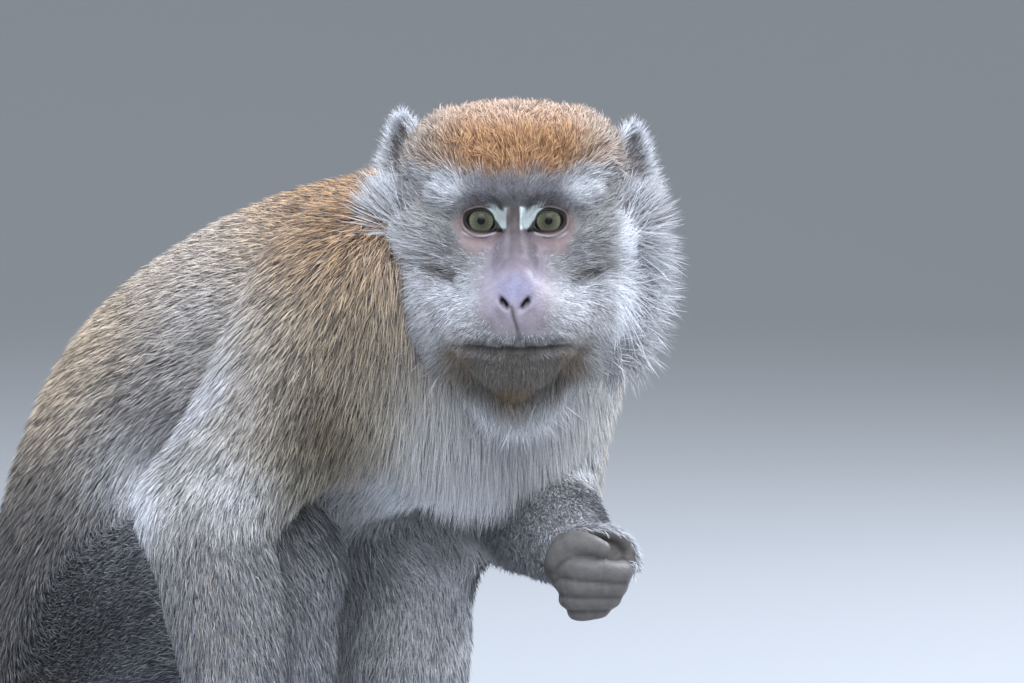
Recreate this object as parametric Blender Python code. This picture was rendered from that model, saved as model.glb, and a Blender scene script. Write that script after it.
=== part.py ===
"""A long-tailed macaque (Macaca fascicularis), an adult male, sitting: a life-size still model.

The animal faces -Y, its right side is -X and +Z is up. It sits on its seat pads with both feet and its
right hand on the ground, its left hand raised as a fist, and its head turned to its right. Every solid
is drawn out to the tips of the coat. Lengths are in metres, in one body frame that a parent empty
centres over the floor.
"""

import math

import bmesh
import bpy
import numpy as np
from mathutils import Matrix, Vector
from mathutils.bvhtree import BVHTree

# ---------------------------------------------------------------- driving dimensions
GAP = 0.0003  # clearance between neighbouring solids
SINK = 0.0012  # how far round parts that rest on the ground are flattened
SKIN_LOW = 0.0035  # height above the ground at which rump and thighs end, between pads and feet

# The torso's centre line from the rump up over the hunched back to the chest:
# across, along, up, half width, half depth
TORSO = (
    (0.0, 0.266, 0.052, 0.084, 0.070),
    (0.0, 0.266, 0.092, 0.105, 0.090),
    (0.0, 0.258, 0.150, 0.102, 0.093),
    (0.0, 0.232, 0.204, 0.095, 0.092),
    (0.0, 0.174, 0.243, 0.091, 0.089),
    (0.0, 0.106, 0.264, 0.089, 0.088),
    (0.0, 0.046, 0.270, 0.078, 0.081),
)
TORSO_CAPS = (0.048, 0.050)  # length of the rounded rump and of the rounded chest
WAIST_RING = 0.36  # where the torso is parted into hips and trunk, as a share of its rings

NECK = (
    (0.002, 0.062, 0.292, 0.068, 0.060),
    (-0.008, 0.030, 0.297, 0.064, 0.058),
    (-0.014, 0.006, 0.300, 0.058, 0.055),
)
NECK_CAPS = (0.030, 0.016)

# The head's own frame starts between the eyes: right, up and forward as its viewer sees it
HEAD_POINT = Vector((-0.0527, -0.0491, 0.333))
HEAD_TURN = math.radians(-45.0)
HEAD_CENTRE = np.array((0.0, -0.014, -0.034))
HEAD_BLEND = 0.0042  # how widely the lumps melt together
HEAD_REACH = (0.16, 0.01)  # the surface lies between these distances from the head's centre
HEAD_STEPS = 120  # steps along each ray before the surface is closed in on
FACE_WAY = Vector((0.0, -0.28, 0.96))
FACE_SPREAD = 0.945  # cosine of the angle round the face that is modelled more finely

# Lumps of the head on the middle line: centre and half sizes, right, up and forward
HEAD_MIDDLE = {
    "cranium": ((0.0, 0.015, -0.053), (0.051, 0.044, 0.058)),
    "brow": ((0.0, 0.0125, -0.008), (0.042, 0.0095, 0.0135)),
    "face": ((0.0, -0.020, -0.015), (0.035, 0.034, 0.024)),
    "bridge_top": ((0.0, -0.004, -0.003), (0.0065, 0.012, 0.0085)),
    "bridge": ((0.0, -0.017, 0.011), (0.0085, 0.013, 0.011)),
    "nose": ((0.0, -0.029, 0.027), (0.0100, 0.010, 0.0115)),
    "muzzle": ((0.0, -0.044, 0.010), (0.029, 0.021, 0.029)),
    "lip": ((0.0, -0.046, 0.024), (0.024, 0.0125, 0.0185)),
    "chin": ((0.0, -0.066, 0.009), (0.023, 0.0170, 0.0215)),
    "throat": ((0.0, -0.060, -0.030), (0.035, 0.031, 0.036)),
    "nape": ((0.0, -0.002, -0.082), (0.046, 0.046, 0.036)),
}
# Lumps in pairs, mirrored across the middle line
HEAD_PAIRS = {
    "temple": ((0.025, 0.026, -0.046), (0.031, 0.029, 0.043)),
    "cheekbone": ((0.036, -0.010, -0.024), (0.020, 0.018, 0.023)),
    "muzzle_side": ((0.0185, -0.048, 0.008), (0.0170, 0.0165, 0.0230)),
    "jaw": ((0.029, -0.044, -0.026), (0.026, 0.030, 0.038)),
    "ruff": ((0.048, -0.034, -0.050), (0.027, 0.041, 0.026)),
}
# Hollows in pairs: centre and half sizes
HEAD_HOLLOWS = {
    "socket": ((0.0175, -0.0005, 0.0045), (0.0115, 0.0085, 0.0085)),
    "cheek_hollow": ((0.0375, -0.0255, 0.0115), (0.010, 0.008, 0.012)),
}

EYE_OUT = 0.0165  # each eye's centre beside, and behind, the point between the eyes
EYE_BACK = 0.0092
EYE_RADIUS = 0.0097

EAR_CENTRE = (0.0535, 0.027, -0.058)
EAR_HALF = (0.0085, 0.0250, 0.0175)  # thickness, height and width of the ear's shell, halved
EAR_BOWL = ((0.0625, 0.029, -0.054), (0.0085, 0.0180, 0.0120))
EAR_SPLAY = math.radians(32.0)

# Limbs: across, along, up, half width, half depth
SIDES = (("right", -1.0), ("left", 1.0))
RIGHT_ARM_LIE = ((0.45, -0.80, 0.3), (1.0, 0.0, 0.0))  # how upper arm and forearm are turned
LEFT_ARM_LIE = ((0.3, -0.9, 0.3), (0.0, 0.0, 1.0))
UPPER_ARM_RIGHT = (
    (-0.060, 0.056, 0.284, 0.050, 0.056),
    (-0.082, 0.070, 0.252, 0.044, 0.052),
    (-0.108, 0.086, 0.214, 0.036, 0.040),
    (-0.124, 0.100, 0.190, 0.031, 0.033),
)
FOREARM_RIGHT = (
    (-0.125, 0.098, 0.180, 0.026, 0.027),
    (-0.126, 0.084, 0.143, 0.029, 0.032),
    (-0.127, 0.073, 0.095, 0.024, 0.026),
    (-0.127, 0.065, 0.048, 0.018, 0.019),
    (-0.127, 0.058, 0.026, 0.017, 0.015),
)
UPPER_ARM_LEFT = (
    (0.058, 0.052, 0.276, 0.048, 0.054),
    (0.074, 0.060, 0.240, 0.042, 0.049),
    (0.088, 0.074, 0.200, 0.034, 0.038),
    (0.092, 0.086, 0.176, 0.031, 0.033),
)
FOREARM_LEFT = (
    (0.088, 0.080, 0.173, 0.026, 0.027),
    (0.062, 0.046, 0.171, 0.029, 0.031),
    (0.030, -0.002, 0.167, 0.024, 0.026),
    (0.006, -0.038, 0.163, 0.018, 0.020),
    (0.000, -0.047, 0.162, 0.017, 0.019),
)
LEGS = {
    "right": {"side": -1.0, "knee": (-0.060, 0.116, 0.156), "ankle": (-0.062, 0.116, 0.036)},
    "left": {"side": 1.0, "knee": (0.059, 0.139, 0.156), "ankle": (0.060, 0.140, 0.036)},
}
HIP_OUT = 0.058  # the hip joint beside the middle line, and its place along and above the ground
HIP_ALONG = 0.250
HIP_UP = 0.088
THIGH_RADII = ((0.050, 0.056), (0.048, 0.058), (0.040, 0.046), (0.033, 0.036))
KNEE_DROP = 0.012  # the shin starts this far under the knee
THIGH_BOW = (0.006, 0.006, 0.010)  # how far the thigh bows out, back and up
SHIN_BOW = (0.0, 0.004, 0.0)
SHIN_RADII = ((0.028, 0.029), (0.032, 0.037), (0.0175, 0.0205))

FOOT_LENGTH = 0.142
FOOT_HALF_WIDTH = 0.0170
FOOT_SHARE = 0.66  # of the foot's length, from the heel to the ball of the foot
HEEL_BACK = 0.030  # the heel's centre behind the ankle and above the ground
HEEL_UP = 0.0155
BALL_UP = 0.0095  # the centre of the ball of the foot above the ground
HEEL_HALF = (0.0130, 0.0145)
TOE_LENGTHS = (0.030, 0.035, 0.036, 0.031)
TOE_RADIUS = 0.0052
TOE_APART = 0.0094
GREAT_TOE_REACH = (0.012, 0.027)  # inward and forward
WRIST = Vector((-0.127, 0.052, 0.020))
KNUCKLES = Vector((-0.129, 0.010, 0.0085))
PALM_HALF_WIDTH = 0.0185
FINGER_LENGTHS = (0.030, 0.036, 0.038, 0.033)
FINGER_RADIUS = 0.0050
FINGER_APART = 0.0097
THUMB_REACH = (0.014, 0.019)
HAND_SPREAD = math.radians(5.0)  # angle between neighbouring fingers or toes on the ground
DIGIT_TIP = (0.8, 0.72)  # a tip's half width and half depth, as shares of the digit's radius
KNUCKLE_RISE = 0.0030

FIST_CENTRE = Vector((-0.0165, -0.0695, 0.1585))
FIST_PALM = ((-0.002, 0.002, -0.004), (0.0125, 0.0135, 0.0150))  # centre, half sizes: along, across, up
FIST_BACK = ((-0.0125, -0.0015, 0.0035), (0.0125, 0.0185, 0.0180))
FIST_FINGERS = (  # height, half width, middle, forward reach, radius and rise to the tip of each
    (0.0024, 0.0145, 0.0012, 0.0125, 0.0056, 0.0016),
    (-0.0056, 0.0136, 0.0022, 0.0120, 0.0050, 0.0004),
    (-0.0124, 0.0112, 0.0030, 0.0105, 0.0047, -0.0004),
    (-0.0180, 0.0062, 0.0038, 0.0070, 0.0045, -0.0010),
)
FIST_CURL = (-96.0, -32.0, 36.0, 104.0)  # directions along a curled finger, in degrees
FIST_HEEL = ((-0.010, 0.0130, 0.000, 0.0100, 0.0092), (-0.003, 0.0165, 0.0045, 0.0086, 0.0074))
FIST_THUMB = (  # along the forearm, across it, up, and half sizes
    (-0.005, 0.0190, 0.0030, 0.0064, 0.0062),
    (0.001, 0.0180, 0.0100, 0.0070, 0.0066),
    (0.005, 0.0125, 0.0150, 0.0068, 0.0064),
    (0.009, -0.0010, 0.0128, 0.0046, 0.0046),
)
FIST_ARCH = (
    (-0.007, 0.0165, 0.0150, 0.0038, 0.0046),
    (-0.003, 0.0030, 0.0210, 0.0036, 0.0046),
    (-0.004, -0.0120, 0.0178, 0.0036, 0.0046),
    (-0.005, -0.0180, 0.0040, 0.0044, 0.0050),
)

SEAT_PAD_OUT = 0.022  # each seat pad's centre from the middle line
SEAT_PAD_ALONG = 0.262
SEAT_PAD_HALF = (0.017, 0.021, 0.010)
SEAT_PAD_SINK = 0.0019  # how far the pads are flattened under the animal's weight

# The tail lies on the ground, from the rump back and round to the left: across, along, radius
TAIL_ROOT = (0.0, 0.318, 0.040, 0.0175)
TAIL = (
    (0.004, 0.350, 0.0150),
    (0.026, 0.386, 0.0135),
    (0.068, 0.400, 0.0125),
    (0.114, 0.386, 0.0116),
    (0.146, 0.350, 0.0108),
    (0.160, 0.300, 0.0100),
    (0.164, 0.246, 0.0092),
    (0.160, 0.192, 0.0084),
    (0.152, 0.142, 0.0074),
    (0.140, 0.100, 0.0060),
)
TAIL_PARTS = 5
TAIL_TIP = 0.012  # length of the tuft that closes the tail

HEAD_LEVEL = 4  # subdivisions of the sphere that the head starts from
TORSO_SIDES = 18
NECK_SIDES = 12
LIMB_SIDES = 11
DIGIT_SIDES = 6
TAIL_SIDES = 8

# Finish: colour as hex, roughness
FINISHES = {
    "coat_crown": ("A9794F", 0.85),
    "coat_back": ("8A7359", 0.85),
    "coat_limb": ("767068", 0.85),
    "coat_pale": ("A9ABA8", 0.85),
    "bare_skin": ("5A5655", 0.60),
    "seat_skin": ("7C6B66", 0.70),
    "eye": ("5F6048", 0.10),
}


# ---------------------------------------------------------------- shapes
def curve_through(rows, steps):
    """A smooth (Catmull-Rom) run through rows of numbers, with so many steps in each span."""
    rows = np.array(rows, float)
    before = np.vstack([2 * rows[0] - rows[1], rows, 2 * rows[-1] - rows[-2]])
    share = np.arange(steps)[:, None] / steps
    spans = []
    for i in range(len(rows) - 1):
        p0, p1, p2, p3 = before[i : i + 4]
        spans.append(
            p1
            + 0.5 * share * (p2 - p0)
            + share**2 * (p0 - 2.5 * p1 + 2 * p2 - 0.5 * p3)
            + share**3 * (1.5 * (p1 - p2) + 0.5 * (p3 - p0))
        )
    return np.vstack(spans + [rows[-1:]])


def unit(vectors):
    """Vectors of length one."""
    return vectors / np.linalg.norm(vectors, axis=-1, keepdims=True)


def rings_along(rows, sides, steps, across, grow):
    """Elliptical rings square to a path; half widths lie along the given direction."""
    path = curve_through(rows, steps)
    centres, halves = path[:, :3], path[:, 3:5] + grow
    along = unit(np.gradient(centres, axis=0))
    side = np.array(across, float) - (along @ np.array(across, float))[:, None] * along
    side = unit(side)
    rise = np.cross(along, side)
    angle = np.arange(sides) * 2 * math.pi / sides
    rings = (
        centres[:, None]
        + side[:, None] * (halves[:, :1] * np.cos(angle))[..., None]
        + rise[:, None] * (halves[:, 1:] * np.sin(angle))[..., None]
    )
    return centres, along, rings


def rounded_end(centre, direction, ring, length, steps):
    """Rings that close an end as a quarter ellipse, and its pole."""
    turns = np.arange(1, steps) * math.pi / 2 / steps
    rings = [
        centre + (ring - centre) * math.cos(t) + direction * length * math.sin(t)
        for t in turns
    ]
    return rings, centre + direction * length


def skin_rings(rings, poles):
    """A closed bmesh over rings, with a pole or a flat face at each end."""
    bm = bmesh.new()
    loops = [[bm.verts.new(p) for p in ring] for ring in rings]
    count = len(loops[0])
    for low, high in zip(loops, loops[1:]):
        for i in range(count):
            j = (i + 1) % count
            bm.faces.new((low[i], low[j], high[j]))
            bm.faces.new((low[i], high[j], high[i]))
    for loop, pole in ((loops[0], poles[0]), (loops[-1], poles[1])):
        if pole is None:
            bm.faces.new(loop)
            continue
        tip = bm.verts.new(pole)
        for i in range(count):
            bm.faces.new((loop[i], loop[(i + 1) % count], tip))
    bmesh.ops.recalc_face_normals(bm, faces=bm.faces)
    return bm


def limb(rows, sides=LIMB_SIDES, steps=1, across=(1.0, 0.0, 0.0), caps=None, grow=0.0, turns=3):
    """A closed tube along a path, rounded at both ends in so many turns."""
    centres, along, rings = rings_along(rows, sides, steps, across, grow)
    lengths = caps or (min(rows[0][3:5]), min(rows[-1][3:5]))
    start, start_pole = rounded_end(centres[0], -along[0], rings[0], lengths[0] + grow, turns)
    end, end_pole = rounded_end(centres[-1], along[-1], rings[-1], lengths[1] + grow, turns)
    return skin_rings(start[::-1] + list(rings) + end, (start_pole, end_pole))


def torso_rings(grow):
    """All the torso's rings, with the poles at the rump and the chest."""
    centres, along, rings = rings_along(TORSO, TORSO_SIDES, 2, (1.0, 0.0, 0.0), grow)
    low, low_pole = rounded_end(centres[0], -along[0], rings[0], TORSO_CAPS[0] + grow, 3)
    high, high_pole = rounded_end(centres[-1], along[-1], rings[-1], TORSO_CAPS[1] + grow, 4)
    return low[::-1] + list(rings) + high, (low_pole, high_pole)


def torso_part(upper, grow=0.0):
    """The trunk above the waist ring, or the hips below it."""
    rings, poles = torso_rings(grow)
    waist = round(WAIST_RING * len(rings))
    shift = unit(np.mean(rings[waist + 1], axis=0) - np.mean(rings[waist - 1], axis=0))
    shift = shift * (GAP / 2 - grow)
    if upper:
        return skin_rings([rings[waist] + shift] + rings[waist + 1 :], (None, poles[1]))
    return skin_rings(rings[:waist] + [rings[waist] - shift], (poles[0], None))


def ball(centre, half, level=3):
    """A sphere scaled to its half sizes and moved to its centre."""
    bm = bmesh.new()
    bmesh.ops.create_icosphere(bm, subdivisions=level, radius=1.0)
    matrix = Matrix.Translation(centre) @ Matrix.Diagonal((*half, 1.0))
    bmesh.ops.transform(bm, matrix=matrix, verts=bm.verts)
    return bm


# ---------------------------------------------------------------- the head
def head_matrix():
    """From the head's frame (right, up, forward) to the body's frame."""
    turn = Matrix.Rotation(HEAD_TURN, 4, "Z") @ Matrix.Rotation(math.radians(90.0), 4, "X")
    return Matrix.Translation(HEAD_POINT) @ turn


def lump_distance(points, centre, half):
    """Nearly the distance outside an ellipsoid, negative inside it."""
    offset = points - centre
    near = np.linalg.norm(offset / half, axis=-1)
    steep = np.linalg.norm(offset / np.square(half), axis=-1)
    return near * (near - 1.0) / np.maximum(steep, 1e-9)


def mirrored(lumps):
    """Each pair of lumps as two, left and right."""
    for centre, half in lumps.values():
        for sign in (-1.0, 1.0):
            yield np.array(centre) * (sign, 1.0, 1.0), np.array(half)


def head_field(points, grow):
    """Below zero inside the head: its lumps melted together, less the hollows."""
    lumps = [(np.array(c), np.array(h)) for c, h in HEAD_MIDDLE.values()]
    lumps += list(mirrored(HEAD_PAIRS))
    total = sum(np.exp(-lump_distance(points, c, h) / HEAD_BLEND) for c, h in lumps)
    field = -HEAD_BLEND * np.log(np.maximum(total, 1e-300))
    for centre, half in mirrored(HEAD_HOLLOWS):
        hollow = -lump_distance(points, centre, half)
        both = np.exp(field / HEAD_BLEND * 3) + np.exp(hollow / HEAD_BLEND * 3)
        field = HEAD_BLEND / 3 * np.log(both)
    return field - grow


def head_shape(grow=0.0):
    """A sphere whose points slide along their rays on to the head's surface; finer on the face."""
    bm = bmesh.new()
    bmesh.ops.create_icosphere(bm, subdivisions=HEAD_LEVEL, radius=1.0)
    middles = {edge: (edge.verts[0].co + edge.verts[1].co).normalized() for edge in bm.edges}
    edges = [edge for edge, middle in middles.items() if middle.dot(FACE_WAY) > FACE_SPREAD]
    bmesh.ops.subdivide_edges(bm, edges=edges, cuts=1, use_grid_fill=True)
    bmesh.ops.triangulate(bm, faces=bm.faces)
    rays = unit(np.array([v.co for v in bm.verts]))
    reach = np.linspace(*HEAD_REACH, HEAD_STEPS)
    fields = head_field(HEAD_CENTRE + rays[:, None] * reach[None, :, None], grow)
    first = np.argmax(fields < 0, axis=1)
    low, high = reach[first], reach[first - 1]
    for _ in range(24):
        middle = (low + high) / 2
        inside = head_field(HEAD_CENTRE + rays * middle[:, None], grow) < 0
        low, high = np.where(inside, middle, low), np.where(inside, high, middle)
    for vert, ray, length in zip(bm.verts, rays, low):
        vert.co = HEAD_CENTRE + ray * length
    bmesh.ops.transform(bm, matrix=head_matrix(), verts=bm.verts)
    bmesh.ops.recalc_face_normals(bm, faces=bm.faces)
    return bm


def eye_shape(sign, grow=0.0):
    """An eyeball in its socket."""
    bm = bmesh.new()
    bmesh.ops.create_uvsphere(bm, u_segments=12, v_segments=8, radius=EYE_RADIUS + grow)
    place = Matrix.Translation((sign * EYE_OUT, 0.0, -EYE_BACK))
    bmesh.ops.transform(bm, matrix=head_matrix() @ place, verts=bm.verts)
    return bm


def ear_shape(sign, grow=0.0):
    """The ear's outer shell before its bowl is hollowed."""
    splay = Matrix.Rotation(-sign * EAR_SPLAY, 4, "Y")
    bm = bmesh.new()
    bmesh.ops.create_uvsphere(bm, u_segments=12, v_segments=8, radius=1.0)
    half = Matrix.Diagonal([h + grow for h in EAR_HALF] + [1.0])
    bmesh.ops.transform(bm, matrix=half, verts=bm.verts)
    place = Matrix.Translation((EAR_CENTRE[0] * sign, EAR_CENTRE[1], EAR_CENTRE[2]))
    bmesh.ops.transform(bm, matrix=head_matrix() @ place @ splay, verts=bm.verts)
    return bm


def ear_bowl_shape(sign):
    """What is hollowed out of the ear, open to the side and front."""
    centre, half = EAR_BOWL
    splay = Matrix.Rotation(-sign * EAR_SPLAY, 4, "Y")
    bm = ball((0.0, 0.0, 0.0), half, level=2)
    place = Matrix.Translation((centre[0] * sign, centre[1], centre[2]))
    bmesh.ops.transform(bm, matrix=head_matrix() @ place @ splay, verts=bm.verts)
    return bm


# ---------------------------------------------------------------- limbs, hands and feet
def leg_path(side, part):
    """Rows for a thigh, from the hip to the knee, or a shin, from the knee to the ankle."""
    leg = LEGS[side]
    hip = Vector((leg["side"] * HIP_OUT, HIP_ALONG, HIP_UP))
    knee, ankle = Vector(leg["knee"]), Vector(leg["ankle"])
    top = knee - Vector((0.0, 0.0, KNEE_DROP))
    start, end, radii = (hip, knee, THIGH_RADII) if part == "thigh" else (top, ankle, SHIN_RADII)
    shares = np.linspace(0.0, 1.0, len(radii))
    bow = Vector(THIGH_BOW if part == "thigh" else SHIN_BOW)
    bow.x *= leg["side"]
    rows = []
    for share, radius in zip(shares, radii):
        centre = start.lerp(end, share) + bow * math.sin(math.pi * share)
        rows.append((*centre, *radius))
    return rows


def digit(start, end, radius, bend=0.0):
    """A finger or toe that lies on the ground, its knuckle lifted by the bend."""
    start, end = Vector(start), Vector(end)
    knuckle = start.lerp(end, 0.45) + Vector((0.0, 0.0, bend))
    wide, deep = DIGIT_TIP
    rows = [(*start, radius, radius), (*knuckle, radius, radius), (*end, radius * wide, radius * deep)]
    across = (end - start).cross(Vector((0.0, 0.0, 1.0)))
    return limb(rows, DIGIT_SIDES, across=across, caps=(radius, radius * 0.9), turns=2)


def hand_shapes():
    """The right palm on the ground, its four fingers fanned forward and its thumb inward."""
    palm_rows = (
        (*WRIST, 0.0150, 0.0125),
        (*WRIST.lerp(KNUCKLES, 0.5), PALM_HALF_WIDTH, 0.0105),
        (*KNUCKLES, PALM_HALF_WIDTH, 0.0078),
    )
    shapes = [limb(palm_rows, caps=(0.014, 0.006))]
    for i, length in enumerate(FINGER_LENGTHS):
        place = 1.5 - i
        turn = place * HAND_SPREAD
        root = KNUCKLES + Vector((place * FINGER_APART, 0.001 + 0.0012 * abs(place), -0.0022))
        tip = root + Vector((math.sin(turn), -math.cos(turn), 0.0)) * length
        tip.z = FINGER_RADIUS * DIGIT_TIP[1] - SINK
        shapes.append(digit(root, tip, FINGER_RADIUS, bend=KNUCKLE_RISE))
    thumb_root = WRIST.lerp(KNUCKLES, 0.45) + Vector((0.012, 0.0, -0.004))
    thumb_tip = thumb_root + Vector((THUMB_REACH[0], -THUMB_REACH[1], 0.0))
    thumb_tip.z = FINGER_RADIUS * DIGIT_TIP[1] - SINK
    shapes.append(digit(thumb_root, thumb_tip, FINGER_RADIUS))
    return shapes


def fist_frame():
    """The raised fist's frame: along the forearm, across towards the palm, and up."""
    along = Vector(FOREARM_LEFT[-1][:3]) - Vector(FOREARM_LEFT[2][:3])
    along.z = 0.0
    along.normalize()
    across = Vector((0.0, 0.0, 1.0)).cross(along) * -1.0
    turn = Matrix((along, across, Vector((0.0, 0.0, 1.0)))).transposed().to_4x4()
    return Matrix.Translation(FIST_CENTRE) @ turn


def fist_shapes():
    """The closed left hand: palm, back, curled fingers one above another, thumb and the fold over it."""
    frame = fist_frame()
    shapes = [ball(*FIST_PALM, level=1), ball(*FIST_BACK, level=2)]
    for up, half, middle, reach, radius, rise in FIST_FINGERS:
        rows = []
        for turn in FIST_CURL:
            a = math.radians(turn)
            place = (reach * math.cos(a), middle + half * math.sin(a), up + rise * math.sin(a))
            rows.append((*place, radius, radius))
        shapes.append(limb(rows, DIGIT_SIDES, across=(0.0, 0.0, 1.0), turns=1))
    for rows in (FIST_HEEL, FIST_THUMB, FIST_ARCH):
        shapes.append(limb(rows, DIGIT_SIDES, across=(0.0, 0.0, 1.0), turns=1))
    for shape in shapes:
        bmesh.ops.transform(shape, matrix=frame, verts=shape.verts)
    return shapes


def foot_shapes(side):
    """A foot flat on the ground: heel and sole, four toes and the great toe set apart."""
    leg = LEGS[side]
    ankle = Vector(leg["ankle"])
    heel = Vector((ankle.x, ankle.y + HEEL_BACK, HEEL_UP))
    front = heel.y + 0.012 - FOOT_SHARE * FOOT_LENGTH
    ball_of_foot = Vector((ankle.x + leg["side"] * 0.004, front, BALL_UP))
    rows = (
        (*heel, *HEEL_HALF),
        (*heel.lerp(ball_of_foot, 0.35), 0.0150, 0.0165),
        (*heel.lerp(ball_of_foot, 0.70), FOOT_HALF_WIDTH, 0.0120),
        (*ball_of_foot, FOOT_HALF_WIDTH, 0.0088),
    )
    shapes = [limb(rows, caps=(0.011, 0.006))]
    for i, length in enumerate(TOE_LENGTHS):
        place = (i - 1.5) * leg["side"]
        turn = place * HAND_SPREAD
        root = ball_of_foot + Vector((place * TOE_APART, 0.002, -0.0030))
        tip = root + Vector((math.sin(turn), -math.cos(turn), 0.0)) * length
        tip.z = TOE_RADIUS * DIGIT_TIP[1] - SINK
        shapes.append(digit(root, tip, TOE_RADIUS, bend=KNUCKLE_RISE))
    root = heel.lerp(ball_of_foot, 0.62) + Vector((-leg["side"] * 0.012, 0.0, -0.006))
    tip = root + Vector((-leg["side"] * GREAT_TOE_REACH[0], -GREAT_TOE_REACH[1], 0.0))
    tip.z = TOE_RADIUS * 0.8 - SINK
    shapes.append(digit(root, tip, TOE_RADIUS * 1.12))
    return shapes


def tail_rows():
    """The tail's path: down from its root to the ground, then along it."""
    rows = [(*TAIL_ROOT[:3], TAIL_ROOT[3], TAIL_ROOT[3])]
    for across, along, radius in TAIL:
        rows.append((across, along, radius - SINK, radius, radius))
    return rows


def tail_shape(index, grow=0.0):
    """One length of the tail, with flat ends a gap apart where it is parted."""
    centres, along, rings = rings_along(tail_rows(), TAIL_SIDES, 3, (0.0, 0.0, 1.0), grow)
    marks = np.linspace(0, len(rings) - 1, TAIL_PARTS + 1).round().astype(int)
    first, last = marks[index], marks[index + 1]
    part = [ring.copy() for ring in rings[first : last + 1]]
    poles = [None, None]
    start, end = [], []
    if index == 0:
        start, poles[0] = rounded_end(centres[0], -along[0], rings[0], TAIL_ROOT[3], 2)
    else:
        part[0] += along[first] * (GAP / 2)
    if index == TAIL_PARTS - 1:
        end, poles[1] = rounded_end(centres[-1], along[-1], rings[-1], TAIL_TIP, 3)
    else:
        part[-1] -= along[last] * (GAP / 2)
    return skin_rings(start[::-1] + part + end, poles)


def seat_pad_shape(sign, grow=0.0):
    """A seat pad, the bare hard skin that the animal sits on."""
    centre = (sign * SEAT_PAD_OUT, SEAT_PAD_ALONG, SEAT_PAD_HALF[2] - SEAT_PAD_SINK)
    return ball(centre, [h + grow for h in SEAT_PAD_HALF], level=2)


# ---------------------------------------------------------------- objects
def linear(hex_colour):
    """An sRGB hex colour as linear values."""
    values = np.array([int(hex_colour[i : i + 2], 16) for i in (0, 2, 4)]) / 255.0
    return np.where(values <= 0.04045, values / 12.92, ((values + 0.055) / 1.055) ** 2.4)


def material(name):
    """The finish of one kind of surface."""
    if name in bpy.data.materials:
        return bpy.data.materials[name]
    colour, roughness = FINISHES[name]
    made = bpy.data.materials.new(name)
    made.use_nodes = True
    shader = made.node_tree.nodes["Principled BSDF"]
    shader.inputs["Base Color"].default_value = (*linear(colour), 1.0)
    shader.inputs["Roughness"].default_value = roughness
    shader.inputs["Metallic"].default_value = 0.0
    return made


def new_object(name, bm):
    """An object from a bmesh in body coordinates."""
    mesh = bpy.data.meshes.new(name)
    bm.to_mesh(mesh)
    bm.free()
    made = bpy.data.objects.new(name, mesh)
    bpy.context.scene.collection.objects.link(made)
    return made


def combine(target, bm, operation):
    """Adds a shape to an object, or takes it away, and settles the result."""
    tool = new_object("tool", bm)
    modifier = target.modifiers.new("combine", "BOOLEAN")
    modifier.operation = operation
    modifier.solver = "EXACT"
    modifier.object = tool
    depsgraph = bpy.context.evaluated_depsgraph_get()
    settled = bpy.data.meshes.new_from_object(target.evaluated_get(depsgraph))
    target.modifiers.clear()
    old = target.data
    target.data = settled
    bpy.data.meshes.remove(old)
    bpy.data.objects.remove(tool)


def below(height):
    """A block under the given height, wider than the animal."""
    bm = bmesh.new()
    bmesh.ops.create_cube(bm, size=1.0)
    matrix = Matrix.Translation((0.0, 0.15, height - 0.5)) @ Matrix.Diagonal((2.0, 2.0, 1.0, 1.0))
    bmesh.ops.transform(bm, matrix=matrix, verts=bm.verts)
    return bm


def keep_largest(target):
    """Drops the crumbs that a cut leaves beside the main body."""
    bm = bmesh.new()
    bm.from_mesh(target.data)
    unseen, bodies = set(bm.verts), []
    while unseen:
        stack = [unseen.pop()]
        body = list(stack)
        while stack:
            for edge in stack.pop().link_edges:
                for vert in edge.verts:
                    if vert in unseen:
                        unseen.discard(vert)
                        stack.append(vert)
                        body.append(vert)
        bodies.append(body)
    bodies.sort(key=len)
    for body in bodies[:-1]:
        bmesh.ops.delete(bm, geom=body, context="VERTS")
    bmesh.ops.dissolve_degenerate(bm, dist=1e-6, edges=bm.edges)
    bm.to_mesh(target.data)
    bm.free()


def meets(target, bm):
    """Whether a shape's surface crosses an object's."""
    own = bmesh.new()
    own.from_mesh(target.data)
    crossing = BVHTree.FromBMesh(own).overlap(BVHTree.FromBMesh(bm))
    own.free()
    return bool(crossing)


def part(name, finish, shapes, neighbours, hollow=None, floor=None):
    """A named solid: its shapes joined, less its grown neighbours, flat on the ground."""
    made = new_object(name, shapes[0])
    for shape in shapes[1:]:
        combine(made, shape, "UNION")
    for neighbour in neighbours:
        if meets(made, neighbour):
            combine(made, neighbour.copy(), "DIFFERENCE")
    if hollow is not None:
        combine(made, hollow, "DIFFERENCE")
    if floor is not None:
        combine(made, below(floor), "DIFFERENCE")
    keep_largest(made)
    made.data.materials.clear()
    made.data.materials.append(material(finish))
    made.data.polygons.foreach_set("use_smooth", [True] * len(made.data.polygons))
    centre = sum((v.co for v in made.data.vertices), Vector()) / len(made.data.vertices)
    made.data.transform(Matrix.Translation(-centre))
    made.location = centre
    return made


def make_seat(grown):
    """The two bare pads that carry the seat."""
    made = []
    for side, sign in SIDES:
        made.append(part("seat_pad_" + side, "seat_skin", [seat_pad_shape(sign)], (), floor=0.0))
        grown.append(seat_pad_shape(sign, GAP))
    return made


def make_torso(grown):
    """Trunk, hips and neck."""
    trunk = part("trunk", "coat_back", [torso_part(True)], grown)
    hips = part("hips", "coat_back", [torso_part(False)], grown, floor=SKIN_LOW)
    grown.append(skin_rings(*torso_rings(GAP)))
    neck = part("neck", "coat_back", [limb(NECK, sides=NECK_SIDES, caps=NECK_CAPS)], grown)
    grown.append(limb(NECK, sides=NECK_SIDES, caps=NECK_CAPS, grow=GAP))
    return [trunk, hips, neck]


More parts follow.
